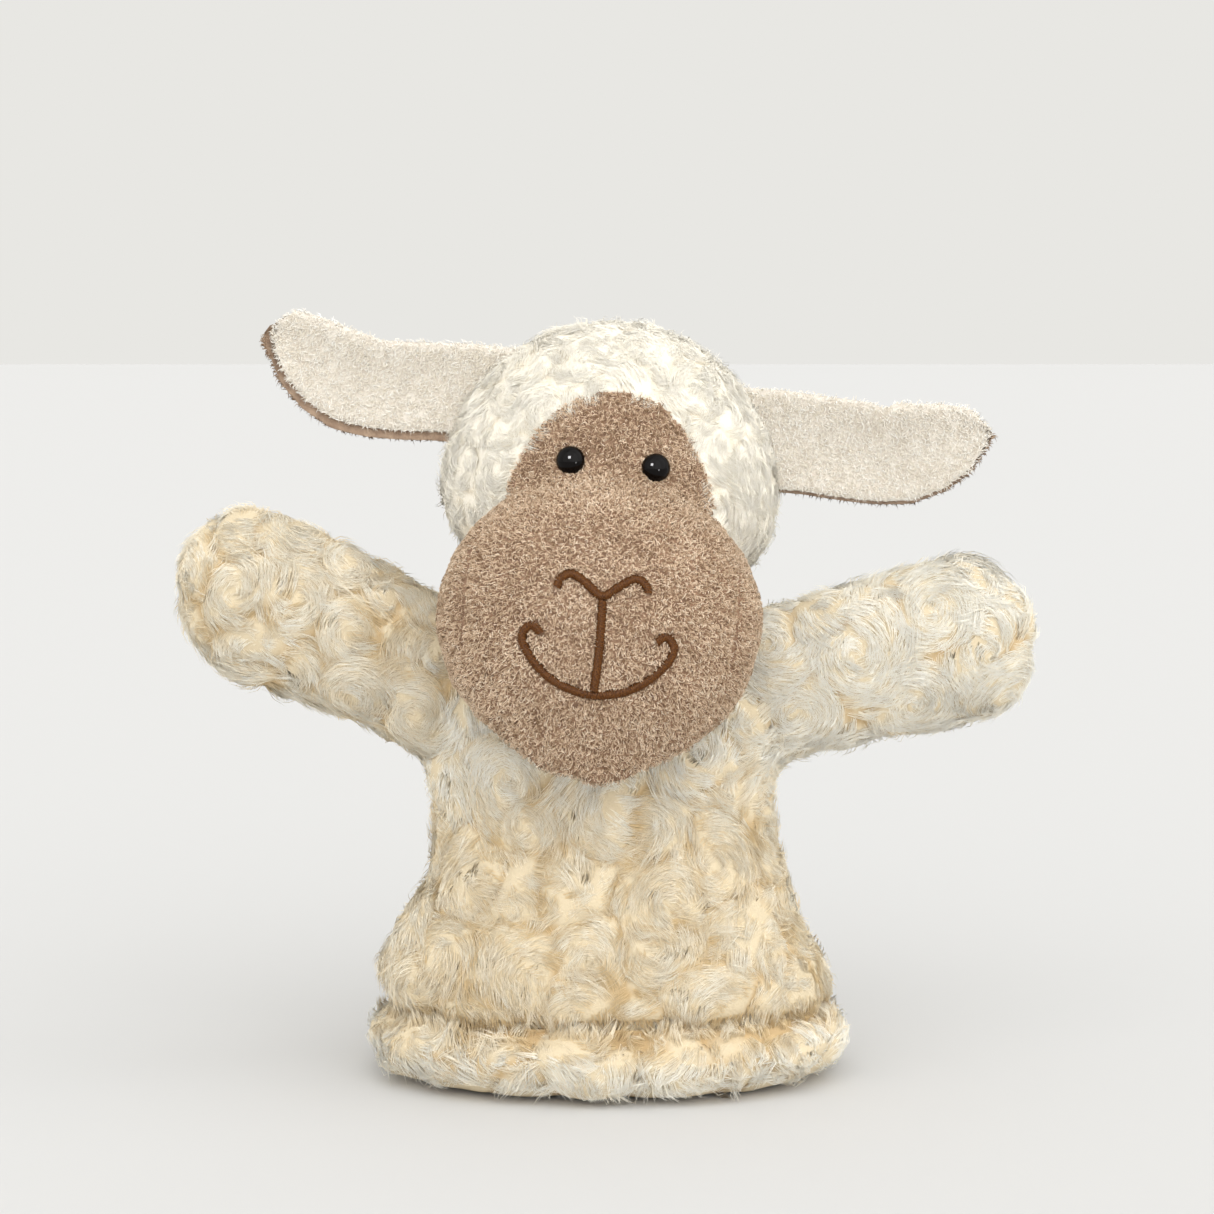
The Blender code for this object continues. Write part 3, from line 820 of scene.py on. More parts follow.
class Look:
    """A Principled material and the nodes that drive it."""

    def __init__(self, name, colour, roughness, sheen=0.0):
        self.material = bpy.data.materials.new(name)
        self.material.use_nodes = True
        self.nodes = self.material.node_tree.nodes
        self.links = self.material.node_tree.links
        self.shader = self.nodes["Principled BSDF"]
        self.shader.inputs["Base Color"].default_value = linear(colour)
        self.shader.inputs["Roughness"].default_value = roughness
        self.shader.inputs["Sheen Weight"].default_value = sheen
        self.shader.inputs["Sheen Roughness"].default_value = 0.5
        self.material.diffuse_color = linear(colour)

    def add(self, kind, **inputs):
        node = self.nodes.new(kind)
        for key, value in inputs.items():
            if key in node.inputs:
                node.inputs[key].default_value = value
            else:
                setattr(node, key, value)
        return node

    def place(self):
        return self.add("ShaderNodeTexCoord").outputs["Object"]

    def noise(self, size, detail=4.0):
        node = self.add("ShaderNodeTexNoise", Scale=1 / (size * MM), Detail=detail)
        self.links.new(self.place(), node.inputs["Vector"])
        return node.outputs["Fac"]

    def ramp(self, value, low, high, dark, light):
        node = self.add("ShaderNodeValToRGB")
        node.color_ramp.elements[0].position = low
        node.color_ramp.elements[0].color = linear(dark)
        node.color_ramp.elements[1].position = high
        node.color_ramp.elements[1].color = linear(light)
        self.links.new(value, node.inputs["Fac"])
        return node.outputs["Color"]

    def spread(self, value, low, high):
        node = self.add("ShaderNodeMapRange")
        node.inputs["To Min"].default_value = low
        node.inputs["To Max"].default_value = high
        self.links.new(value, node.inputs["Value"])
        return node.outputs["Result"]

    def combine(self, operation, first, second):
        node = self.add("ShaderNodeMath", operation=operation)
        self.links.new(first, node.inputs[0])
        self.links.new(second, node.inputs[1])
        return node.outputs[0]

    def bump(self, value, height):
        node = self.add("ShaderNodeBump", Strength=1.0, Distance=height * MM)
        self.links.new(value, node.inputs["Height"])
        self.links.new(node.outputs["Normal"], self.shader.inputs["Normal"])

    def paint(self, colour):
        self.links.new(colour, self.shader.inputs["Base Color"])

    def drive(self, name, value):
        self.links.new(value, self.shader.inputs[name])


def backing(name, dark, light, ochre_and_shade_in_creases=False):
    """The knitted ground that a pile grows from, darker down in its creases: partly the fleece's ochre,
    partly painted shade.
    """
    look = Look(name, light, 0.95)
    if ochre_and_shade_in_creases:
        height = look.add("ShaderNodeAttribute", attribute_name="pile_height").outputs["Fac"]
        uneven = look.combine("ADD", height, look.spread(look.noise(3.0), -0.2, 0.2))
        look.paint(look.ramp(uneven, 0.0, 0.55, dark, light))
    else:
        look.paint(look.ramp(look.noise(3.0), 0.35, 0.65, dark, light))
    look.bump(look.noise(0.8, 2.0), 0.3)
    return look.material


def strand_look(name, colour, sheen):
    """One shade of fibre. Its shine varies along and between the strands."""
    look = Look(name, colour, 0.9, sheen)
    look.drive("Specular IOR Level", look.spread(look.noise(1.5), 0.0, 0.05))
    return look.material


def strand_looks(name, shades, sheen):
    return [strand_look(f"{name}_{i + 1}", colour, sheen) for i, colour in enumerate(shades)]


def woven(name, dark, light, thread):
    """Plain weave: two sets of threads that cross, with uneven dye."""
    look = Look(name, light, 0.85, 0.2)
    waves = []
    for axis in ("X", "Z"):
        wave = look.add("ShaderNodeTexWave", Scale=1 / (thread * MM) / 3.2, Distortion=0.4)
        wave.bands_direction = axis
        look.links.new(look.place(), wave.inputs["Vector"])
        waves.append(wave.outputs["Fac"])
    cross = look.combine("MAXIMUM", *waves)
    uneven = look.combine("MULTIPLY", cross, look.spread(look.noise(6.0), 0.7, 1.2))
    look.paint(look.ramp(uneven, 0.1, 0.9, dark, light))
    look.bump(cross, 0.15)
    return look.material


def thread_look(name, dark, light):
    look = Look(name, dark, 0.5)
    look.shader.inputs["Specular IOR Level"].default_value = 0.15
    look.paint(look.ramp(look.noise(0.35, 2.0), 0.35, 0.7, dark, light))
    look.bump(look.noise(0.2, 2.0), 0.05)
    return look.material


def glass_eye():
    look = Look("black_glossy_eye", (7, 4, 4), 0.08)
    look.drive("Roughness", look.spread(look.noise(0.6), 0.03, 0.07))
    look.shader.inputs["Specular IOR Level"].default_value = 0.14
    return look.material


def moulded():
    look = Look("moulded_washer", (222, 222, 218), 0.45)
    look.drive("Roughness", look.spread(look.noise(1.0), 0.38, 0.55))
    look.bump(look.noise(0.3), 0.02)
    return look.material


LOOKS = {
    # The cream and white backings are darker in their creases: partly the fleece's ochre, partly painted
    # shade.
    "cream_backing": backing("cream_backing", (197, 169, 125), (217, 201, 170), ochre_and_shade_in_creases=True),
    "white_backing": backing("white_backing", (228, 217, 196), (239, 232, 217), ochre_and_shade_in_creases=True),
    "taupe_backing": backing("taupe_backing", (128, 98, 76), (164, 132, 106)),
    "ear_back_backing": backing("ear_back_backing", (150, 124, 102), (178, 152, 128)),
    "ear_backing": backing("ear_backing", (216, 206, 192), (236, 229, 218)),
    "lining": woven("lining_weave", (186, 176, 152), (226, 218, 198), 0.5),
    "thread": thread_look("brown_satin_thread", (66, 34, 9), (120, 75, 31)),
    "eye": glass_eye(),
    "washer": moulded(),
}
CREAM_FIBRES = strand_looks(
    "cream_fibre",
    [(222, 197, 154), (234, 216, 182), (243, 230, 205), (249, 241, 222), (253, 249, 237)],
    0.0,
)
WHITE_FIBRES = strand_looks(
    "white_fibre",
    [(245, 233, 209), (248, 238, 218), (250, 243, 226), (252, 246, 231), (253, 248, 236)],
    0.0,
)
TAUPE_FIBRES = strand_looks(
    "taupe_fibre",
    [(150, 122, 96), (188, 160, 132), (213, 186, 158), (232, 207, 180), (245, 226, 202)],
    0.03,
)
EAR_FIBRES = strand_looks(
    "ear_fibre",
    [(236, 228, 212), (243, 236, 223), (249, 244, 234), (252, 249, 242)],
    0.03,
)
EAR_BACK_FIBRES = strand_looks(
    "ear_back_fibre",
    [(134, 108, 86), (158, 132, 108), (178, 152, 128), (196, 172, 148)],
    0.03,
)


# ---- body ----


def torso_shell():
    rows = []
    first = TORSO_PROFILE[0][0]
    for height, width, depth in TORSO_PROFILE:
        draw_in = TORSO_DRAW_IN + 3.5 * max(0.0, 1 - (height - first) / 9.0)
        lowered = TORSO_DRAW_IN if height > SHOULDER_HEIGHT else 0.0
        rows.append(ring(width - draw_in, depth - draw_in, height - lowered, TORSO_POWER, 64))
    points, faces = loft(rows)
    return points, faces, torso_frame()


def oval_share(points):
    """How far out each point is, as a share of the torso's outline at its foot."""
    inside = local(points, torso_frame())
    _, width, depth = TORSO_PROFILE[0]
    power = TORSO_POWER
    return (np.abs(inside[:, 0] / width) ** power + np.abs(inside[:, 1] / depth) ** power) ** (1 / power)


def neck_shell():
    points, faces = loft([ring(*sizes) - (NECK_ASIDE, 0.0, 0.0) for sizes in NECK_RINGS])
    return points, faces, torso_frame()


def arm_radius(side, along):
    root, middle, paw = ARM_RADII[side]
    length = ARM_LENGTH[side]
    stations = (0.0, WRIST / 2, WRIST, length - PAW_ROUND)
    radius = np.interp(along, stations, (root, middle, (middle + paw) / 2, paw))
    share = np.clip((along - (length - PAW_ROUND)) / PAW_ROUND, 0, 1)
    return radius * math.sqrt(max(1 - share * share, 0.0))


def arm_rows(side, start, draw_in, around, end=None):
    length = ARM_LENGTH[side]
    round_start = length - PAW_ROUND
    stations = list(np.linspace(start, round_start if end is None else end, 10))
    if end is None:
        stations += list(round_start + PAW_ROUND * np.sin(np.radians((15, 30, 45, 58, 70, 80, 86))))
    rows = []
    for along in stations:
        radius = arm_radius(side, along)
        radius -= draw_in * (radius / ARM_RADII[side][2] if along > round_start else 1.0)
        up, deep = oval(radius, radius * ARM_DEPTH_RATIO, 2.0, around)
        sag = ARM_SAG[side] * math.exp(-(((along - SAG_MIDDLE) / SAG_SPREAD) ** 2))
        up = up - np.clip(-up / radius, 0, 1) * sag if draw_in < LINING_DEPTH else up
        rounded = max(along - round_start, 0.0)
        out = along - rounded * draw_in / PAW_ROUND
        rows.append(np.stack([np.full(around, out), deep, up], axis=1))
    return rows


def arm_shell(side):
    points, faces = loft(arm_rows(side, -ARM_START, ARM_DRAW_IN, 48))
    return points, faces, arm_frame(side)


BODY_PARTS = ["torso", "neck", "left_arm", "left_paw", "right_arm", "right_paw"]
# Tone of each body part: partly painted light and shade, the left arm and paw lighter and the torso, neck
# and right arm darker as the light falls on them; partly their own tone.
PART_TONES_AND_PAINTED_LIGHT = [-0.30, -0.2, 0.26, 0.42, -0.16, -0.14]


def body_part(points):
    """Which of BODY_PARTS each point of the glove belongs to."""
    part = np.zeros(len(points), int)
    part[points[:, 2] > NECK_BLEND[0] + 0.5] = 1
    for side in SIDES:
        inside = local(points, arm_frame(side))
        near = (inside[:, 0] > ARM_BLEND[0]) & (np.abs(inside[:, 2]) < 34)
        near &= points[:, 0] * SIDES[side] > 38
        part[near] = BODY_PARTS.index(f"{side}_arm")
        part[near & (inside[:, 0] > PAW_BLEND[0])] = BODY_PARTS.index(f"{side}_paw")
    return part


def ride_part(obj, part):
    """Attaches a piece of the torso to the torso's body; a piece of the neck or an arm only has its place
    put into its mesh.
    """
    if part == "torso":
        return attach(obj, "torso")
    if part == "neck":
        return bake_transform(obj)
    side, kind = part.split("_")
    place = arm_frame(side)
    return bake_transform(obj)


BODY_PANELS = {
    "torso": ("body_front_panel", "body_back_panel"),
    "neck": (),
    "left_arm": ("left_sleeve_front", "left_sleeve_back"),
    "left_paw": ("left_paw_front", "left_paw_back"),
    "right_arm": ("right_sleeve_front", "right_sleeve_back"),
    "right_paw": ("right_paw_front", "right_paw_back"),
}


# Bulges of the torso's sides: the side, the height, how far up and down each spreads, and how far out.
SLUMPS = [
    (-1, 40.0, 14.0, 4.0),
    (-1, 102.0, 15.0, 4.0),
    (1, 25.0, 8.0, 4.5),
    (1, 52.0, 10.0, -2.0),
]


def slump(points):
    """How the torso's soft sides settle, which differs from one side to the other."""
    out = np.clip(points[:, 0] / 60, -1, 1)
    moved = np.zeros_like(points)
    for sign, height, spread, amount in SLUMPS:
        bulge = amount * np.exp(-(((points[:, 2] - height) / spread) ** 2))
        moved[:, 0] += np.where(out * sign > 0, out * bulge, 0.0)
    return moved


def glove():
    shells = [torso_shell(), neck_shell()] + [arm_shell(side) for side in SIDES]
    obj = union("glove", shells, BODY_VOXEL, 4)
    points = Surface(obj.data).points
    seam = np.abs(points[:, 1] - middle_y()) < 2.5
    ends = (points[:, 2] < CREASE_HEIGHT) | (points[:, 2] > 143)
    swell(obj, seam | ends, BODY_SWELL)
    surface = subdivided(obj)
    rosettes = Rosettes(surface, **GLOVE_ROSETTES)
    heights = rosettes.heights(surface.points)
    surface.points = surface.points + surface.normals * rosettes.lift(heights)[:, None]
    surface.points = surface.points + slump(surface.points)
    surface.find_normals()
    centres, normals = surface.centres(), surface.face_normals()
    opening = (centres[:, 2] < FOOT_HEIGHT) & (normals[:, 2] < -0.75) & (oval_share(centres) < 0.88)
    top = (centres[:, 2] > NECK_TOP) & (normals[:, 2] > 0.5) & (np.abs(centres[:, 0]) < 40)
    kept = ~(opening | top)
    part = body_part(centres)
    front = centres[:, 1] < middle_y()
    for index, name in enumerate(BODY_PARTS):
        here = kept & (part == index)
        if name == "neck":
            obj = panel("neck_fleece", surface, here, LOOKS["cream_backing"], heights)
            ride_part(obj, name)
            continue
        for facing, node, half in zip(("front", "back"), BODY_PANELS[name], (front, ~front)):
            obj = panel(f"{name}_fleece_{facing}", surface, here & half, LOOKS["cream_backing"], heights)
            ride_part(obj, name)
            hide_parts(node)
    glove_pile(surface, rosettes, kept)


def hangs(roots):
    """The nap over the hem's crease, where tufts hang straight down."""
    return np.where(roots[:, 2] < HANGING_HEIGHT + 2.5 * wobble(roots, 18.0, 75), -1, 0)


def glove_pile(surface, rosettes, kept):
    grown = grow_fleece(surface, rosettes, kept, **GLOVE_FLEECE, combed=hangs, free_below=FOOT_HEIGHT)
    pile = Pile(grown, CREAM_FIBRES, FLEECE_RADIUS, 1.2, 31)
    roots = pile.roots
    part = body_part(roots)
    front = roots[:, 1] < middle_y()
    # Part tones: partly painted light and shade, partly each part's own tone.
    pile.tones = pile.tones + 0.06 * wobble(roots, 45.0, 61) + np.array(PART_TONES_AND_PAINTED_LIGHT)[part]
    # Painted light under the muzzle, lifting its shadow on the torso's front.
    painted_light_under_muzzle = np.clip((roots[:, 2] - 80) / 30, 0, 1) * (part == 0) * front
    # Painted shade in the recess between the torso's foot and the hem.
    painted_crease_shade = np.clip((CREASE_HEIGHT + 2.5 * wobble(roots, 14.0, 76) - roots[:, 2]) / 2, 0, 1)
    pile.tones = pile.tones + UNDER_MUZZLE_PAINTED_LIGHT * painted_light_under_muzzle - IN_CREASE_PAINTED_SHADE * painted_crease_shade
    for index, name in enumerate(BODY_PARTS):
        for facing, chosen in (("front", front), ("back", ~front)):
            shares = {"": True}
            if name == "torso":
                shares = {"_" + share: mask for share, mask in quarters(roots, 75.0).items()}
            for share, also in shares.items():
                here = (part == index) & chosen & also
                piece = pile.piece(f"{name}_pile_{facing}{share}", here, FLEECE_SOFTNESS, root_step=1)
                ride_part(piece, name)


def hem():
    """The roll of turned-up fleece that the puppet stands on."""
    around, across = 200, 26
    angles = np.linspace(0, 2 * math.pi, across, endpoint=False)
    heights = HEM_MIDDLE + HEM_HALF_HEIGHT * np.sign(np.sin(angles)) * np.abs(np.sin(angles)) ** 0.95
    out = np.cos(angles)
    outward = HEM_THICKNESS / 2 * (out - 1) + HEM_PUFF * np.maximum(out, 0)
    outward -= CREASE_DEPTH * np.clip((heights - 15.0) / 7.0, 0, 1) * (out > 0)
    widths = np.interp(heights, [row[0] for row in HEM_PROFILE], [row[1] for row in HEM_PROFILE])
    depths = np.interp(heights, [row[0] for row in HEM_PROFILE], [row[2] for row in HEM_PROFILE])
    points = []
    for height, proud, width, depth in zip(heights, outward, widths, depths):
        points.append(ring(width + proud, depth + proud, max(height, HEM_FOOT), TORSO_POWER, around))
    points = np.concatenate(points)
    i, j = np.meshgrid(np.arange(across) * around, np.arange(around), indexing="ij")
    k, m = np.roll(i, -1, axis=0), np.roll(j, -1, axis=1)
    faces = np.stack([i + j, i + m, k + m, k + j], axis=-1).reshape(-1, 4)
    obj = mesh_object("hem_fleece", move(points, torso_frame()), faces, [LOOKS["cream_backing"]])
    surface = Surface(obj.data)
    rosettes = Rosettes(surface, **HEM_ROSETTES)
    lift = rosettes.lift(rosettes.heights(surface.points))
    lift += 0.9 * wobble(surface.points, 16.0, 72)
    high = surface.points[:, 2]
    lift *= np.clip(high / 6.0, 0.0, 1.0) * np.clip((26 - high) / 7.0, 0.0, 1.0)
    surface.points = surface.points + surface.normals * lift[:, None] + slump(surface.points)
    surface.points[:, 2] = np.maximum(surface.points[:, 2], 0.9)
    surface.find_normals()
    # Painted shade: the backing at the hem's top, under the torso's overhang, is lowered towards its crease
    # colour.
    keep_heights(obj, rosettes.heights(surface.points) - np.clip((surface.points[:, 2] - 18) / 6, 0, 1))
    set_points(obj.data, surface.points)
    obj.data.update()
    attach(obj, "torso")
    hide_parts("hem_roll")
    hem_pile(surface, rosettes)


def stands(roots):
    """The nap of the hem's upper and lower edges, where strands stand up."""
    return np.where((roots[:, 2] > 21) | (roots[:, 2] < 6), 1, 0)


def hem_pile(surface, rosettes):
    outwards = surface.centres() - np.array(torso_frame().translation)
    normals = surface.face_normals()
    outside = (outwards[:, :2] * normals[:, :2]).sum(axis=1) > 0
    furred = (outside | (normals[:, 2] > 0.6)) & (normals[:, 2] > -0.8)
    grown = grow_fleece(surface, rosettes, furred, **HEM_FLEECE, combed=stands, free_above=21.5)
    pile = Pile(grown, CREAM_FIBRES, FLEECE_RADIUS, 1.2, 32)
    pile.paths[:, :, 2] = np.maximum(pile.paths[:, :, 2], LOWEST_STRAND)
    # Painted shade on the hem's top, under the torso's overhang.
    painted_shade_under_crease = np.clip((pile.roots[:, 2] - 15 - 1.5 * wobble(pile.roots, 20.0, 73)) / 4, 0, 1)
    pile.tones = pile.tones + HEM_TONE - painted_shade_under_crease * UNDER_CREASE_PAINTED_SHADE
    for half, here in (("left", pile.roots[:, 0] > 0), ("right", pile.roots[:, 0] <= 0)):
        piece = pile.piece(f"hem_pile_{half}", here, FLEECE_SOFTNESS, root_step=1)
        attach(piece, "torso")


# ---- linings ----


def cloth_tube(name, rows, matrix, remove=None):
    points, faces = loft(rows, capped=False)
    points, faces = move(points, matrix), np.array(faces)
    if remove is not None:
        faces = faces[~remove(points[faces].mean(axis=1))]
        used, renumbered = np.unique(faces, return_inverse=True)
        points, faces = points[used], renumbered.reshape(faces.shape)
    obj = mesh_object(name, points, faces, [LOOKS["lining"]])
    turn_outwards(obj.data)
    thicken(obj, LINING_THICKNESS)
    return obj


def linings():
    profile = np.array(HEM_PROFILE[:-1] + TORSO_PROFILE[1:])
    rows = []
    for height in np.linspace(8.0, 141.0, 60):
        width, depth = (np.interp(height, profile[:, 0], profile[:, i]) for i in (1, 2))
        inset = LINING_DEPTH + max(0.0, 2.6 * (1 - abs(height - 12) / 14))
        row = ring(width - inset, depth - inset, height, TORSO_POWER, 96)
        ripple = 0.35 * np.sin(row[:, 0] * 0.5 + height * 0.13) * np.sin(height * 0.21)
        row[:, :2] += ripple[:, None]
        rows.append(row)

    def armholes(centres):
        gone = np.zeros(len(centres), bool)
        for side in SIDES:
            inside = local(centres, arm_frame(side))
            away = np.hypot(inside[:, 2], inside[:, 1] / ARM_DEPTH_RATIO)
            gone |= (inside[:, 0] > -LINING_DEPTH) & (away < ARMHOLE_RADIUS)
        return gone

    body = cloth_tube("torso_lining", rows, torso_frame(), armholes)
    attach(body, "torso")
    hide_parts("body_lining")
    for side in SIDES:
        place = arm_frame(side)
        rows = arm_rows(side, -LINING_DEPTH, LINING_DEPTH, 40, end=WRIST)
        sleeve = cloth_tube(f"{side}_arm_lining", rows, place)
        ride_part(sleeve, f"{side}_arm")
        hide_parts(f"{side}_sleeve_lining")
        rows = arm_rows(side, WRIST - 0.5, LINING_DEPTH, 40)
        paw = cloth_tube(f"{side}_paw_lining_cloth", rows, place)
        ride_part(paw, f"{side}_paw")
        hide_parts(f"{side}_paw_lining")
    neck_place = torso_frame() @ Matrix.Translation(Vector((joint_point("head_turn").x, 0.0, 0.0)))
    rows = [ring(NECK_SLEEVE_RADIUS, NECK_SLEEVE_RADIUS, z) for z in np.linspace(134.5, 147.0, 8)]
    neck = cloth_tube("neck_sleeve_cloth", rows, neck_place)
    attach(neck, "neck")
    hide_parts("neck_sleeve")
    rows = [ring(POCKET_RADIUS, POCKET_RADIUS, z) for z in np.linspace(4.0, POCKET_TOP, 16)]
    for angle in np.radians((25, 50, 70, 84)):
        radius = POCKET_RADIUS * math.cos(angle)
        rows.append(ring(radius, radius, POCKET_TOP + POCKET_DOME * math.sin(angle)))
    pocket = cloth_tube("finger_pocket_cloth", rows, head_frame())
    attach(pocket, "head")
    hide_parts("finger_pocket")


# ---- head ----


def ball_radii(above):
    return np.where(above, BALL_RADII, (*BALL_RADII[:2], BALL_DOWN))


def muzzle_radii(above):
    return np.where(above, MUZZLE_RADII, (*MUZZLE_RADII[:2], MUZZLE_DOWN))


def ball_value(points):
    """Below 1 inside the head's ball, 1 on it and more outside it."""
    radii = ball_radii(points[:, 2:] > BALL_CENTRE[2])
    return np.linalg.norm((points - BALL_CENTRE) / radii, axis=1)


def muzzle_value(points):
    """The same for the muzzle."""
    radii = muzzle_radii(points[:, 2:] > MUZZLE_CENTRE[2])
    return np.linalg.norm((points - MUZZLE_CENTRE) / radii, axis=1)


def beyond_throat(points):
    return (points - THROAT_POINT) @ THROAT_NORMAL


def globe():
    """Points and faces of a unit ball with its poles at top and bottom."""
    angles = np.radians(np.linspace(-88, 88, 40))
    return loft([ring(math.cos(a), math.cos(a), math.sin(a), around=64) for a in angles])


def head_shells():
    unit_points, faces = globe()
    above = unit_points[:, 2:] > 0
    ball = BALL_CENTRE + unit_points * (ball_radii(above) - BALL_DRAW_IN)
    muzzle = MUZZLE_CENTRE + unit_points * (muzzle_radii(above) - MUZZLE_DRAW_IN)
    cut = CHIN_ROUNDING * np.logaddexp(0.0, (beyond_throat(muzzle) + THROAT_DRAW_IN) / CHIN_ROUNDING)
    muzzle = muzzle - cut[:, None] * THROAT_NORMAL
    return [(ball, faces, head_frame()), (muzzle, faces, head_frame())]


def in_arch(points, grow=0.0):
    heights = [z for _, z in reversed(FACE_ARCH)]
    widths = [x for x, _ in reversed(FACE_ARCH)]
    within = np.abs(points[:, 0]) < np.interp(points[:, 2], heights, widths) + grow
    return within & (points[:, 2] < FACE_ARCH[0][1] + grow) & (points[:, 1] < -8)


HEAD_PARTS = ["crown_left", "crown_right", "face", "muzzle", "chin"]


def head_part(points):
    """Which of HEAD_PARTS each point of the head, in the head's frame, belongs to."""
    on_muzzle = muzzle_value(points) - 0.02 < ball_value(points) - 0.05
    part = np.where(points[:, 0] > 0, 0, 1)
    part[in_arch(points)] = 2
    part[on_muzzle] = 3
    part[on_muzzle & (beyond_throat(points) > -5.0) & (points[:, 2] < 5)] = 4
    return part


HEAD_NODES = {
    "crown_left": ("crown_left_panel", "head_filling"),
    "crown_right": ("crown_right_panel",),
    "face": ("face_patch",),
    "muzzle": ("muzzle_panel", "muzzle_filling"),
    "chin": ("chin_panel",),
}


def dart_distance(points):
    """How far each point is from the muzzle's two side darts, in the head's frame."""
    height = np.clip(points[:, 2], -3.0, 27.0)
    side = DART_SIDE + 1.5 * np.cos((height - 12) / 15)
    front = points[:, 1] < MUZZLE_CENTRE[1] + 8
    away = np.hypot(np.abs(points[:, 0]) - side, points[:, 2] - height)
    return np.where(front, away, 99.0)


def eye_point(sign, draw_in):
    """Where an eye sits on the head's front, that far inside it."""
    radii = BALL_RADII - draw_in
    x, z = sign * EYE_X, EYE_HEIGHT - EYE_SETTLE
    deep = radii[1] * math.sqrt(1 - (x / radii[0]) ** 2 - ((z - BALL_CENTRE[2]) / radii[2]) ** 2)
    return np.array((x, -deep, z))


def near_eyes(points, reach):
    """Which points, in the head's frame, are within reach of an eye's root."""
    away = [np.linalg.norm(points - eye_point(sign, EYE_ROOT), axis=1) for sign in SIDES.values()]
    return np.minimum(*away) < reach


def head():
    obj = union("head", head_shells(), HEAD_VOXEL, 2)
    place = head_frame()
    points = local(Surface(obj.data).points, place)
    ball, muzzle = ball_value(points), muzzle_value(points)
    seam = (np.abs(ball - muzzle) < 0.05) & (points[:, 1] < -10)
    arch_edge = in_arch(points, 2.0) & ~in_arch(points, -2.0)
    bottom = (points[:, 2] < 12) & (points[:, 1] > -30)
    throat = beyond_throat(points) > -4
    pinned = seam | arch_edge | near_eyes(points, 6) | bottom | throat | (dart_distance(points) < 2)
    swell(obj, pinned, HEAD_SWELL)
    surface = subdivided(obj)
    inside = local(surface.points, place)
    part = head_part(inside)
    rosettes = Rosettes(surface, **CROWN_ROSETTES)
    heights = rosettes.heights(surface.points)
    lift = rosettes.lift(heights) * (part < 2)
    lift -= DART_DEPTH * np.exp(-((dart_distance(inside) / DART_WIDTH) ** 2)) * (part >= 3)
    lift += 0.35 * wobble(surface.points, 9.0, 71) * (part >= 2)
    surface.points = surface.points + surface.normals * lift[:, None]
    point = np.exp(-((inside[:, 0] / MUZZLE_POINT_WIDTH) ** 2)) * np.clip((-24 - inside[:, 2]) / 16, 0, 1)
    surface.points[:, 2] -= MUZZLE_POINT * point * (part >= 3)
    surface.find_normals()
    centres = local(surface.centres(), place)
    part = head_part(centres)
    hole = (np.hypot(centres[:, 0], centres[:, 1]) < NECK_HOLE) & (centres[:, 2] < 20)
    for index, name in enumerate(HEAD_PARTS):
        colour, cloth = ("white", "fleece") if name.startswith("crown") else ("taupe", "plush")
        here = (part == index) & ~hole
        piece = panel(f"{name}_{cloth}", surface, here, LOOKS[f"{colour}_backing"], heights)
        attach(piece, "head")
        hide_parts(*HEAD_NODES[name])
    crown_pile(surface, rosettes, (part < 2) & ~hole)
    face_pile(surface, part, place)
    return surface


def crown_pile(surface, rosettes, chosen):
    grown = grow_fleece(surface, rosettes, chosen, **CROWN_FLEECE)
    pile = Pile(grown, WHITE_FIBRES, FLEECE_RADIUS, 1.2, 33)
    pile.tones = pile.tones + CROWN_TONE + 0.06 * wobble(pile.roots, 28.0, 62)
    inside = local(pile.roots, head_frame())
    for side, sign in SIDES.items():
        for facing, faces in (("front", inside[:, 1] < 0), ("back", inside[:, 1] >= 0)):
            here = (inside[:, 0] * sign > 0) & faces
            piece = pile.piece(f"crown_{side}_pile_{facing}", here, FLEECE_SOFTNESS, root_step=1)
            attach(piece, "head")


def face_pile(surface, part, place):
    lines = embroidery_points()

    def covered(roots):
        inside = local(roots, place)
        gone = (dart_distance(inside) < 0.5) | near_eyes(inside, EYE_RADIUS - 0.6)
        flat = inside[:, [0, 2]]
        for line in lines.values():
            near = np.min(np.linalg.norm(flat[:, None, :] - line[None, ::4], axis=2), axis=1)
            gone |= (near < 1.1) & (inside[:, 1] < MUZZLE_CENTRE[1])
        return gone

    nap = (0.0, 0.0, -0.35)
    for name, plush in PLUSH.items():
        index = HEAD_PARTS.index(name)
        grown = grow_plush(surface, part == index, plush["density"], PLUSH_LENGTH, nap, 24 + index, covered)
        pile = Pile(grown, TAUPE_FIBRES, PLUSH_RADIUS, 1.25, 34 + index)
        pile.tones = pile.tones + plush["tone"]
        for share, here in quarters(local(pile.roots, place), plush["halved_at"]).items():
            piece = pile.piece(f"{name}_pile_{share}", here, PLUSH_SOFTNESS)
            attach(piece, "head")


# ---- embroidery and eyes ----


def smooth_line(points, pitch):
    """Evenly spaced points on a smooth curve through the given ones."""
    points = np.array(points)
    ends = np.concatenate([[2 * points[0] - points[1]], points, [2 * points[-1] - points[-2]]])
    fine = []
    for p0, p1, p2, p3 in zip(ends, ends[1:], ends[2:], ends[3:]):
        for t in np.linspace(0, 1, 24, endpoint=False):
            square = (2 * p0 - 5 * p1 + 4 * p2 - p3) * t**2
            cube = (3 * p1 - p0 - 3 * p2 + p3) * t**3
            fine.append(0.5 * (2 * p1 + (p2 - p0) * t + square + cube))
    fine = np.array(fine + [points[-1]])
    steps = np.concatenate([[0], np.cumsum(np.linalg.norm(np.diff(fine, axis=0), axis=1))])
    wanted = np.arange(0, steps[-1], pitch)
    return np.stack([np.interp(wanted, steps, fine[:, i]) for i in range(2)], axis=1)


def both_sides(half):
    return [(-x, z) for x, z in reversed(half[1:])] + half


def embroidery_points():
    """The middle of each stitched line, a little lower than the CAD model's."""
    lines = {
        "nose_embroidery": both_sides(NOSE_LINE),
        "lip_embroidery": LIP_LINE,
        "mouth_embroidery": both_sides(MOUTH_LINE),
    }
    return {name: smooth_line(line, STITCH_PITCH) - (0.0, STITCH_SETTLE) for name, line in lines.items()}


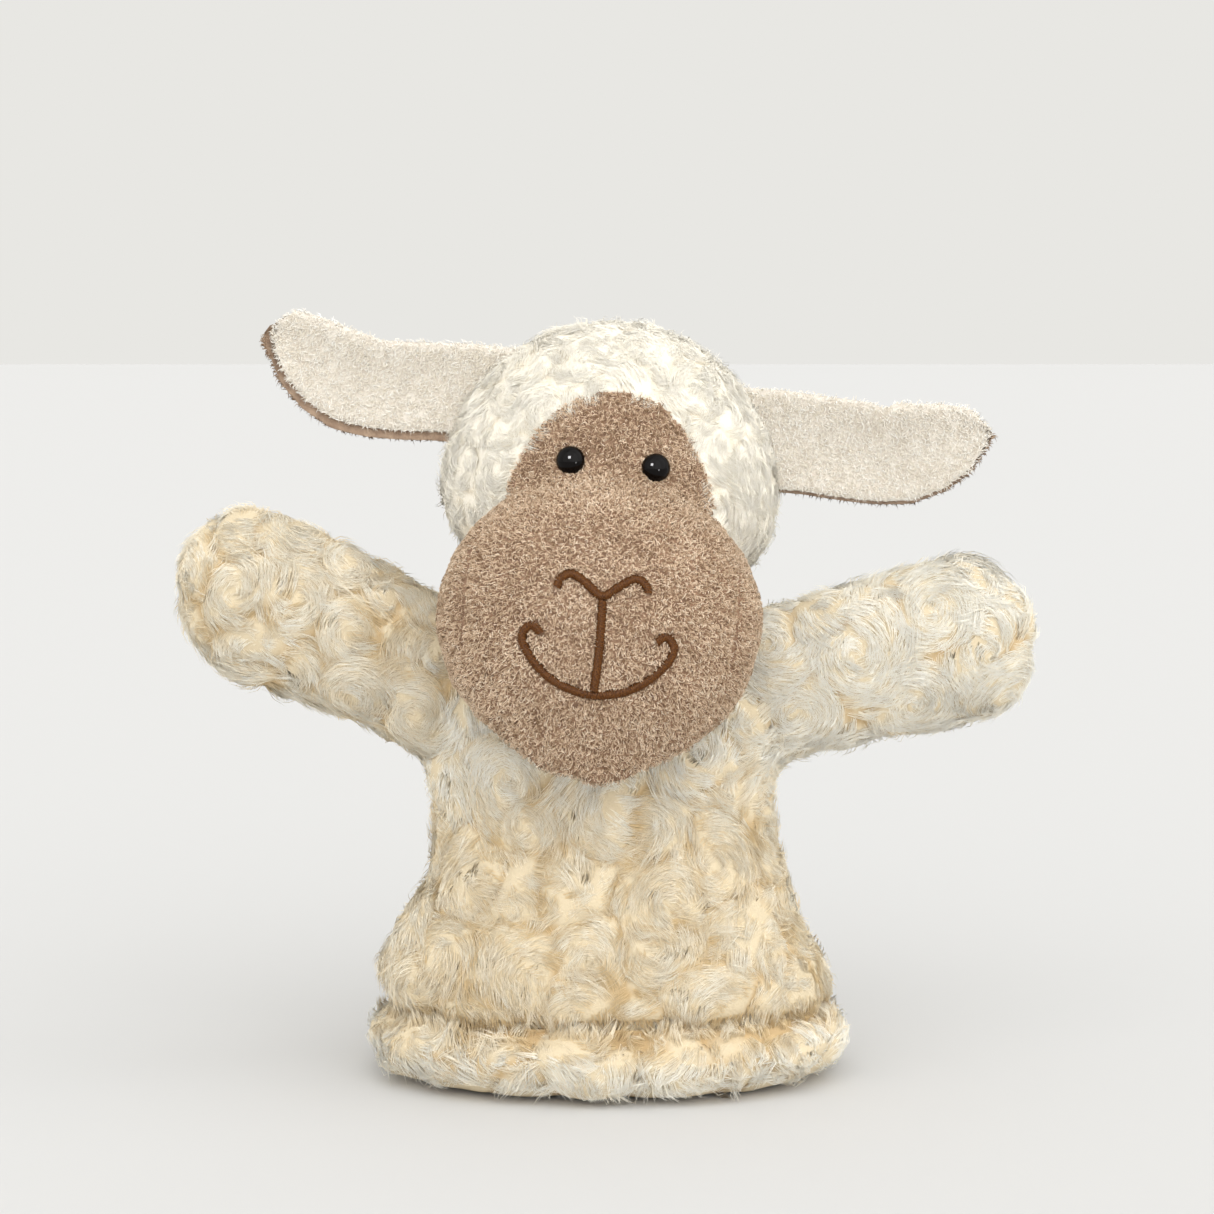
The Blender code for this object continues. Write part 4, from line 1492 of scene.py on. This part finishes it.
def embroidery(surface):
    """Satin stitch: short threads side by side across each line, arched up as over a padding cord."""
    tree = surface.tree()
    place = head_frame()
    forward = (place.to_3x3() @ Vector((0.0, -1.0, 0.0))).normalized()

    def on_skin(x, z):
        start = place @ Vector((x, -120.0, z))
        found = tree.ray_cast(start, -forward)
        return found[0], found[1]

    rng = np.random.default_rng(41)
    arc = np.linspace(0, math.pi, 7)
    for name, line in embroidery_points().items():
        paths = []
        along = unit(np.gradient(line, axis=0))
        for (x, z), (ax, az) in zip(line, along):
            centre, normal = on_skin(x, z)
            width = STITCH_WIDTH * rng.uniform(0.93, 1.07)
            slant = rng.normal(0, 0.08) + STITCH_SLANT
            across = place.to_3x3() @ Vector((-az + ax * slant, 0.0, ax + az * slant))
            across = (across - normal * across.dot(normal)).normalized()
            out = np.outer(width * np.cos(arc), across)
            up = np.outer(STITCH_LOW + STITCH_RISE * np.maximum(np.sin(arc), 0.0) ** 0.7, normal)
            paths.append(np.array(centre) + out + up)
        piece = thread_tubes(name + "_stitches", np.array(paths), THREAD_RADIUS, THREAD_SIDES)
        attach(piece, "head")
        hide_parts(name)


def thread_tubes(name, paths, radius, sides):
    """Round closed threads along the paths."""
    count, rings = paths.shape[:2]
    circles = paths[:, :, None] + radius * circles_round(paths, (0.11, 0.97, 0.21), sides)
    points = np.concatenate([circles.reshape(count, rings * sides, 3), paths[:, :1], paths[:, -1:]], axis=1)
    pattern = []
    for r in range(rings - 1):
        for k in range(sides):
            a, b = r * sides + k, r * sides + (k + 1) % sides
            pattern += [(a, b + sides, b), (a, a + sides, b + sides)]
    first, last = rings * sides, rings * sides + 1
    for k in range(sides):
        j = (k + 1) % sides
        pattern.append((first, k, j))
        pattern.append((last, (rings - 1) * sides + j, (rings - 1) * sides + k))
    faces = np.array(pattern) + (np.arange(count) * (rings * sides + 2))[:, None, None]
    return mesh_object(name, points.reshape(-1, 3), faces.reshape(-1, 3), [LOOKS["thread"]])


def eye_frame(sign):
    point = eye_point(sign, EYE_DRAW_IN)
    normal = Vector((point - BALL_CENTRE) / (BALL_RADII - EYE_DRAW_IN) ** 2)
    turn = normal.to_track_quat("Z", "Y").to_matrix().to_4x4()
    return head_frame() @ Matrix.Translation(Vector(point)) @ turn


def eyes():
    """Polished domes with a fine rim, each on its shank."""
    angles = np.radians(np.arange(2, 91, 8))
    profile = [(EYE_RADIUS * math.sin(a), 0.5 + EYE_DOME * math.cos(a)) for a in angles]
    profile += [(EYE_RADIUS, 0.35), (EYE_RADIUS - 0.25, 0.1)]
    profile += EYE_SHANK
    points, faces = loft([ring(radius, radius, z) for radius, z in reversed(profile)])
    for side, sign in SIDES.items():
        mesh = shell_mesh(f"{side}_eye_dome", [(points, faces, eye_frame(sign))])
        mesh.shade_smooth()
        mesh.materials.append(LOOKS["eye"])
        obj = linked(mesh.name, mesh)
        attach(obj, "head")
        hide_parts(f"{side}_eye")
        frame["nodes"][f"{side}_eye_washer"].data.materials[0] = LOOKS["washer"]


# ---- ears ----


def ear_sheet(side, grow_out, rows, columns):
    """The ear's middle surface in the head's frame: a grid of points, and how close each is to the edge."""
    ear, sign = EARS[side], SIDES[side]
    outline = np.array(EAR_OUTLINE)
    length = outline[-1, 0] + grow_out
    along = -EAR_TUCK + (length + EAR_TUCK) * np.linspace(0, 1, rows) ** 0.85
    share = np.clip(along / length, 0, 1)
    above = np.interp(along, outline[:, 0], outline[:, 1]) - np.interp(share, (0.1, 0.5, 0.9), ear["trim"])
    below = np.interp(along, outline[:, 0], outline[:, 2]) + grow_out
    if side == "left":
        notch = (along - EAR_NOTCH["along"]) / EAR_NOTCH["width"]
        above = above - EAR_NOTCH["depth"] * np.exp(-(notch**2))
    tip = np.clip((along - (length - EAR_TIP)) / EAR_TIP, 0, 1)
    rounding = np.sqrt(1 - 0.985 * tip**2)
    v = np.linspace(1, -1, columns)[None, :]
    middle = ((above - below) / 2)[:, None]
    half = ((above + below) / 2 * rounding)[:, None]
    height = (middle + half * v) * ear["width"]
    slant = EAR_SLANT * v * (1 - share[:, None])
    out = ear["root"] + along[:, None] * ear["length"] - slant
    lift = ear["curl"] * share**2.4
    ripple = EAR_RIPPLE * np.sin(6.2 * share[:, None] + 1.3 * v) * share[:, None]
    deep = -2.0 + 3.0 * (0.4 - v * v) + ripple - 1.5 * share[:, None] ** 2
    grid = np.stack([sign * out, deep + 0 * height, ear["middle"] + height + lift[:, None]], axis=-1)
    edge = np.maximum(np.abs(v) + 0 * half, tip[:, None])
    return grid, edge


def ear_layer(side, layer):
    """One closed layer of an ear: its outer face is puffed and its edge is turned in."""
    backward, grow_out = (1.0, EARS[side]["show"]) if layer == "back" else (-1.0, 0.0)
    grid, edge = ear_sheet(side, grow_out, *EAR_GRID)
    puff = EAR_PUFF * np.sqrt(np.clip(1 - edge**5, 0, 1)) + EAR_GAP
    near, far = grid.copy(), grid.copy()
    near[:, :, 1] += backward * EAR_GAP
    far[:, :, 1] += backward * puff
    return np.stack([near, far]), backward


def closed_sheet_faces(rows, columns):
    """Faces that close two grids of points, one after the other, into one layer."""
    count = rows * columns
    faces = []
    for r in range(rows - 1):
        for c in range(columns - 1):
            a, b = r * columns + c, r * columns + c + 1
            faces.append((a, b, b + columns, a + columns))
            faces.append((count + a, count + a + columns, count + b + columns, count + b))
    edge = list(range(columns))
    edge += [r * columns + columns - 1 for r in range(1, rows)]
    edge += [(rows - 1) * columns + c for c in range(columns - 2, -1, -1)]
    edge += [r * columns for r in range(rows - 2, 0, -1)]
    for a, b in zip(edge, edge[1:] + edge[:1]):
        faces.append((b, a, count + a, count + b))
    return np.array(faces)


def ears():
    for side in SIDES:
        for layer, colour in (("front", "cream"), ("back", "taupe")):
            grids, backward = ear_layer(side, layer)
            points = move(grids.reshape(-1, 3), head_frame())
            looks = [LOOKS["ear_backing" if layer == "front" else "ear_back_backing"]]
            faces = closed_sheet_faces(*grids.shape[1:3])
            obj = mesh_object(f"{side}_ear_{layer}_plush", points, faces, looks)
            turn_outwards(obj.data)
            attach(obj, f"{side}_ear")
            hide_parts(f"{side}_ear_{layer}")
            surface = Surface(obj.data)
            normals = surface.face_normals()
            facing = normals[:, 1] * backward
            chosen = facing > -0.6 if layer == "front" else (facing > -0.3) & (normals[:, 2] < 0.45)
            seed = 50 + 4 * (side == "left") + 2 * (layer == "back")
            lean = (SIDES[side] * 0.8, 0.0, -0.4)
            grown = grow_plush(surface, chosen, EAR_PLUSH_DENSITY, EAR_PLUSH_LENGTH, lean, seed)
            fibres = EAR_FIBRES if layer == "front" else EAR_BACK_FIBRES
            pile = Pile(grown, fibres, EAR_PLUSH_RADIUS, 1.2, seed)
            piece = pile.piece(f"{side}_ear_{layer}_pile", slice(None), PLUSH_SOFTNESS)
            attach(piece, f"{side}_ear")


# ---- stage ----

CAMERA_PLACE = (0.0, -0.93, 0.245)
CAMERA_TARGET = (0.0, 0.0153, 0.157)
FOCAL_LENGTH = 84.6
BACKGROUND = (232, 231, 227)
SUNS = [
    ("soft_key", 1.2, 42.0, 32.0),
    ("soft_fill", 0.85, 70.0, -24.0),
    ("soft_left", 0.8, 35.0, 78.0),
    ("soft_right", 0.55, 35.0, -78.0),
]
SUN_SPREAD = 100.0
WINDOWS = [
    ("window_above", (-0.22, -0.75, 0.62), 0.24, 12.0),
    ("window_low", (0.45, -0.8, 0.10), 0.12, 1.2),
]
WINDOW_TARGET = (0.0, 0.0, 0.2)
FLOOR_HALF = 30.0
FLOOR_MATCH = 0.995


def aimed(name, data, place, target):
    """A lamp or camera at its place, looking at the target."""
    obj = linked(name, data)
    obj.location = place
    obj.rotation_euler = (Vector(target) - Vector(place)).to_track_quat("-Z", "Y").to_euler()
    return obj


def lights():
    """Soft daylight from suns, which also light the floor, and windows that only the shiny eyes show.

    Gives how brightly a white floor would be lit.
    """
    floor_light = linear(BACKGROUND)[0]
    for name, strength, back, side in SUNS:
        data = bpy.data.lights.new(name, "SUN")
        data.energy = strength
        data.angle = math.radians(SUN_SPREAD)
        sun = linked(name, data)
        sun.rotation_euler = (math.radians(back), math.radians(side), 0.0)
        steepness = math.cos(math.radians(back)) * math.cos(math.radians(side))
        floor_light += strength * steepness / math.pi
    for name, place, size, power in WINDOWS:
        data = bpy.data.lights.new(name, "AREA")
        data.size = size
        data.energy = power
        aimed(name, data, place, WINDOW_TARGET).visible_diffuse = False
    return floor_light


def stage():
    world = bpy.data.worlds.new("studio")
    bpy.context.scene.world = world
    world.use_nodes = True
    world.node_tree.nodes["Background"].inputs["Color"].default_value = linear(BACKGROUND)
    floor_mesh = bpy.data.meshes.new("floor")
    corners = [(x * FLOOR_HALF, y * FLOOR_HALF, 0) for x, y in ((-1, -1), (1, -1), (1, 1), (-1, 1))]
    floor_mesh.from_pydata(corners, [], [(0, 1, 2, 3)])
    floor = linked("floor", floor_mesh)
    look = Look("pale_floor", BACKGROUND, 1.0)
    share = FLOOR_MATCH * linear(BACKGROUND)[0] / lights()
    look.shader.inputs["Base Color"].default_value = (share, share, share, 1.0)
    look.shader.inputs["Specular IOR Level"].default_value = 0.0
    floor_mesh.materials.append(look.material)
    camera_data = bpy.data.cameras.new("camera")
    camera_data.lens = FOCAL_LENGTH
    bpy.context.scene.camera = aimed("camera", camera_data, CAMERA_PLACE, CAMERA_TARGET)
    bpy.context.scene.view_settings.view_transform = "Standard"


glove()
hem()
linings()
embroidery(head())
eyes()
ears()
stage()
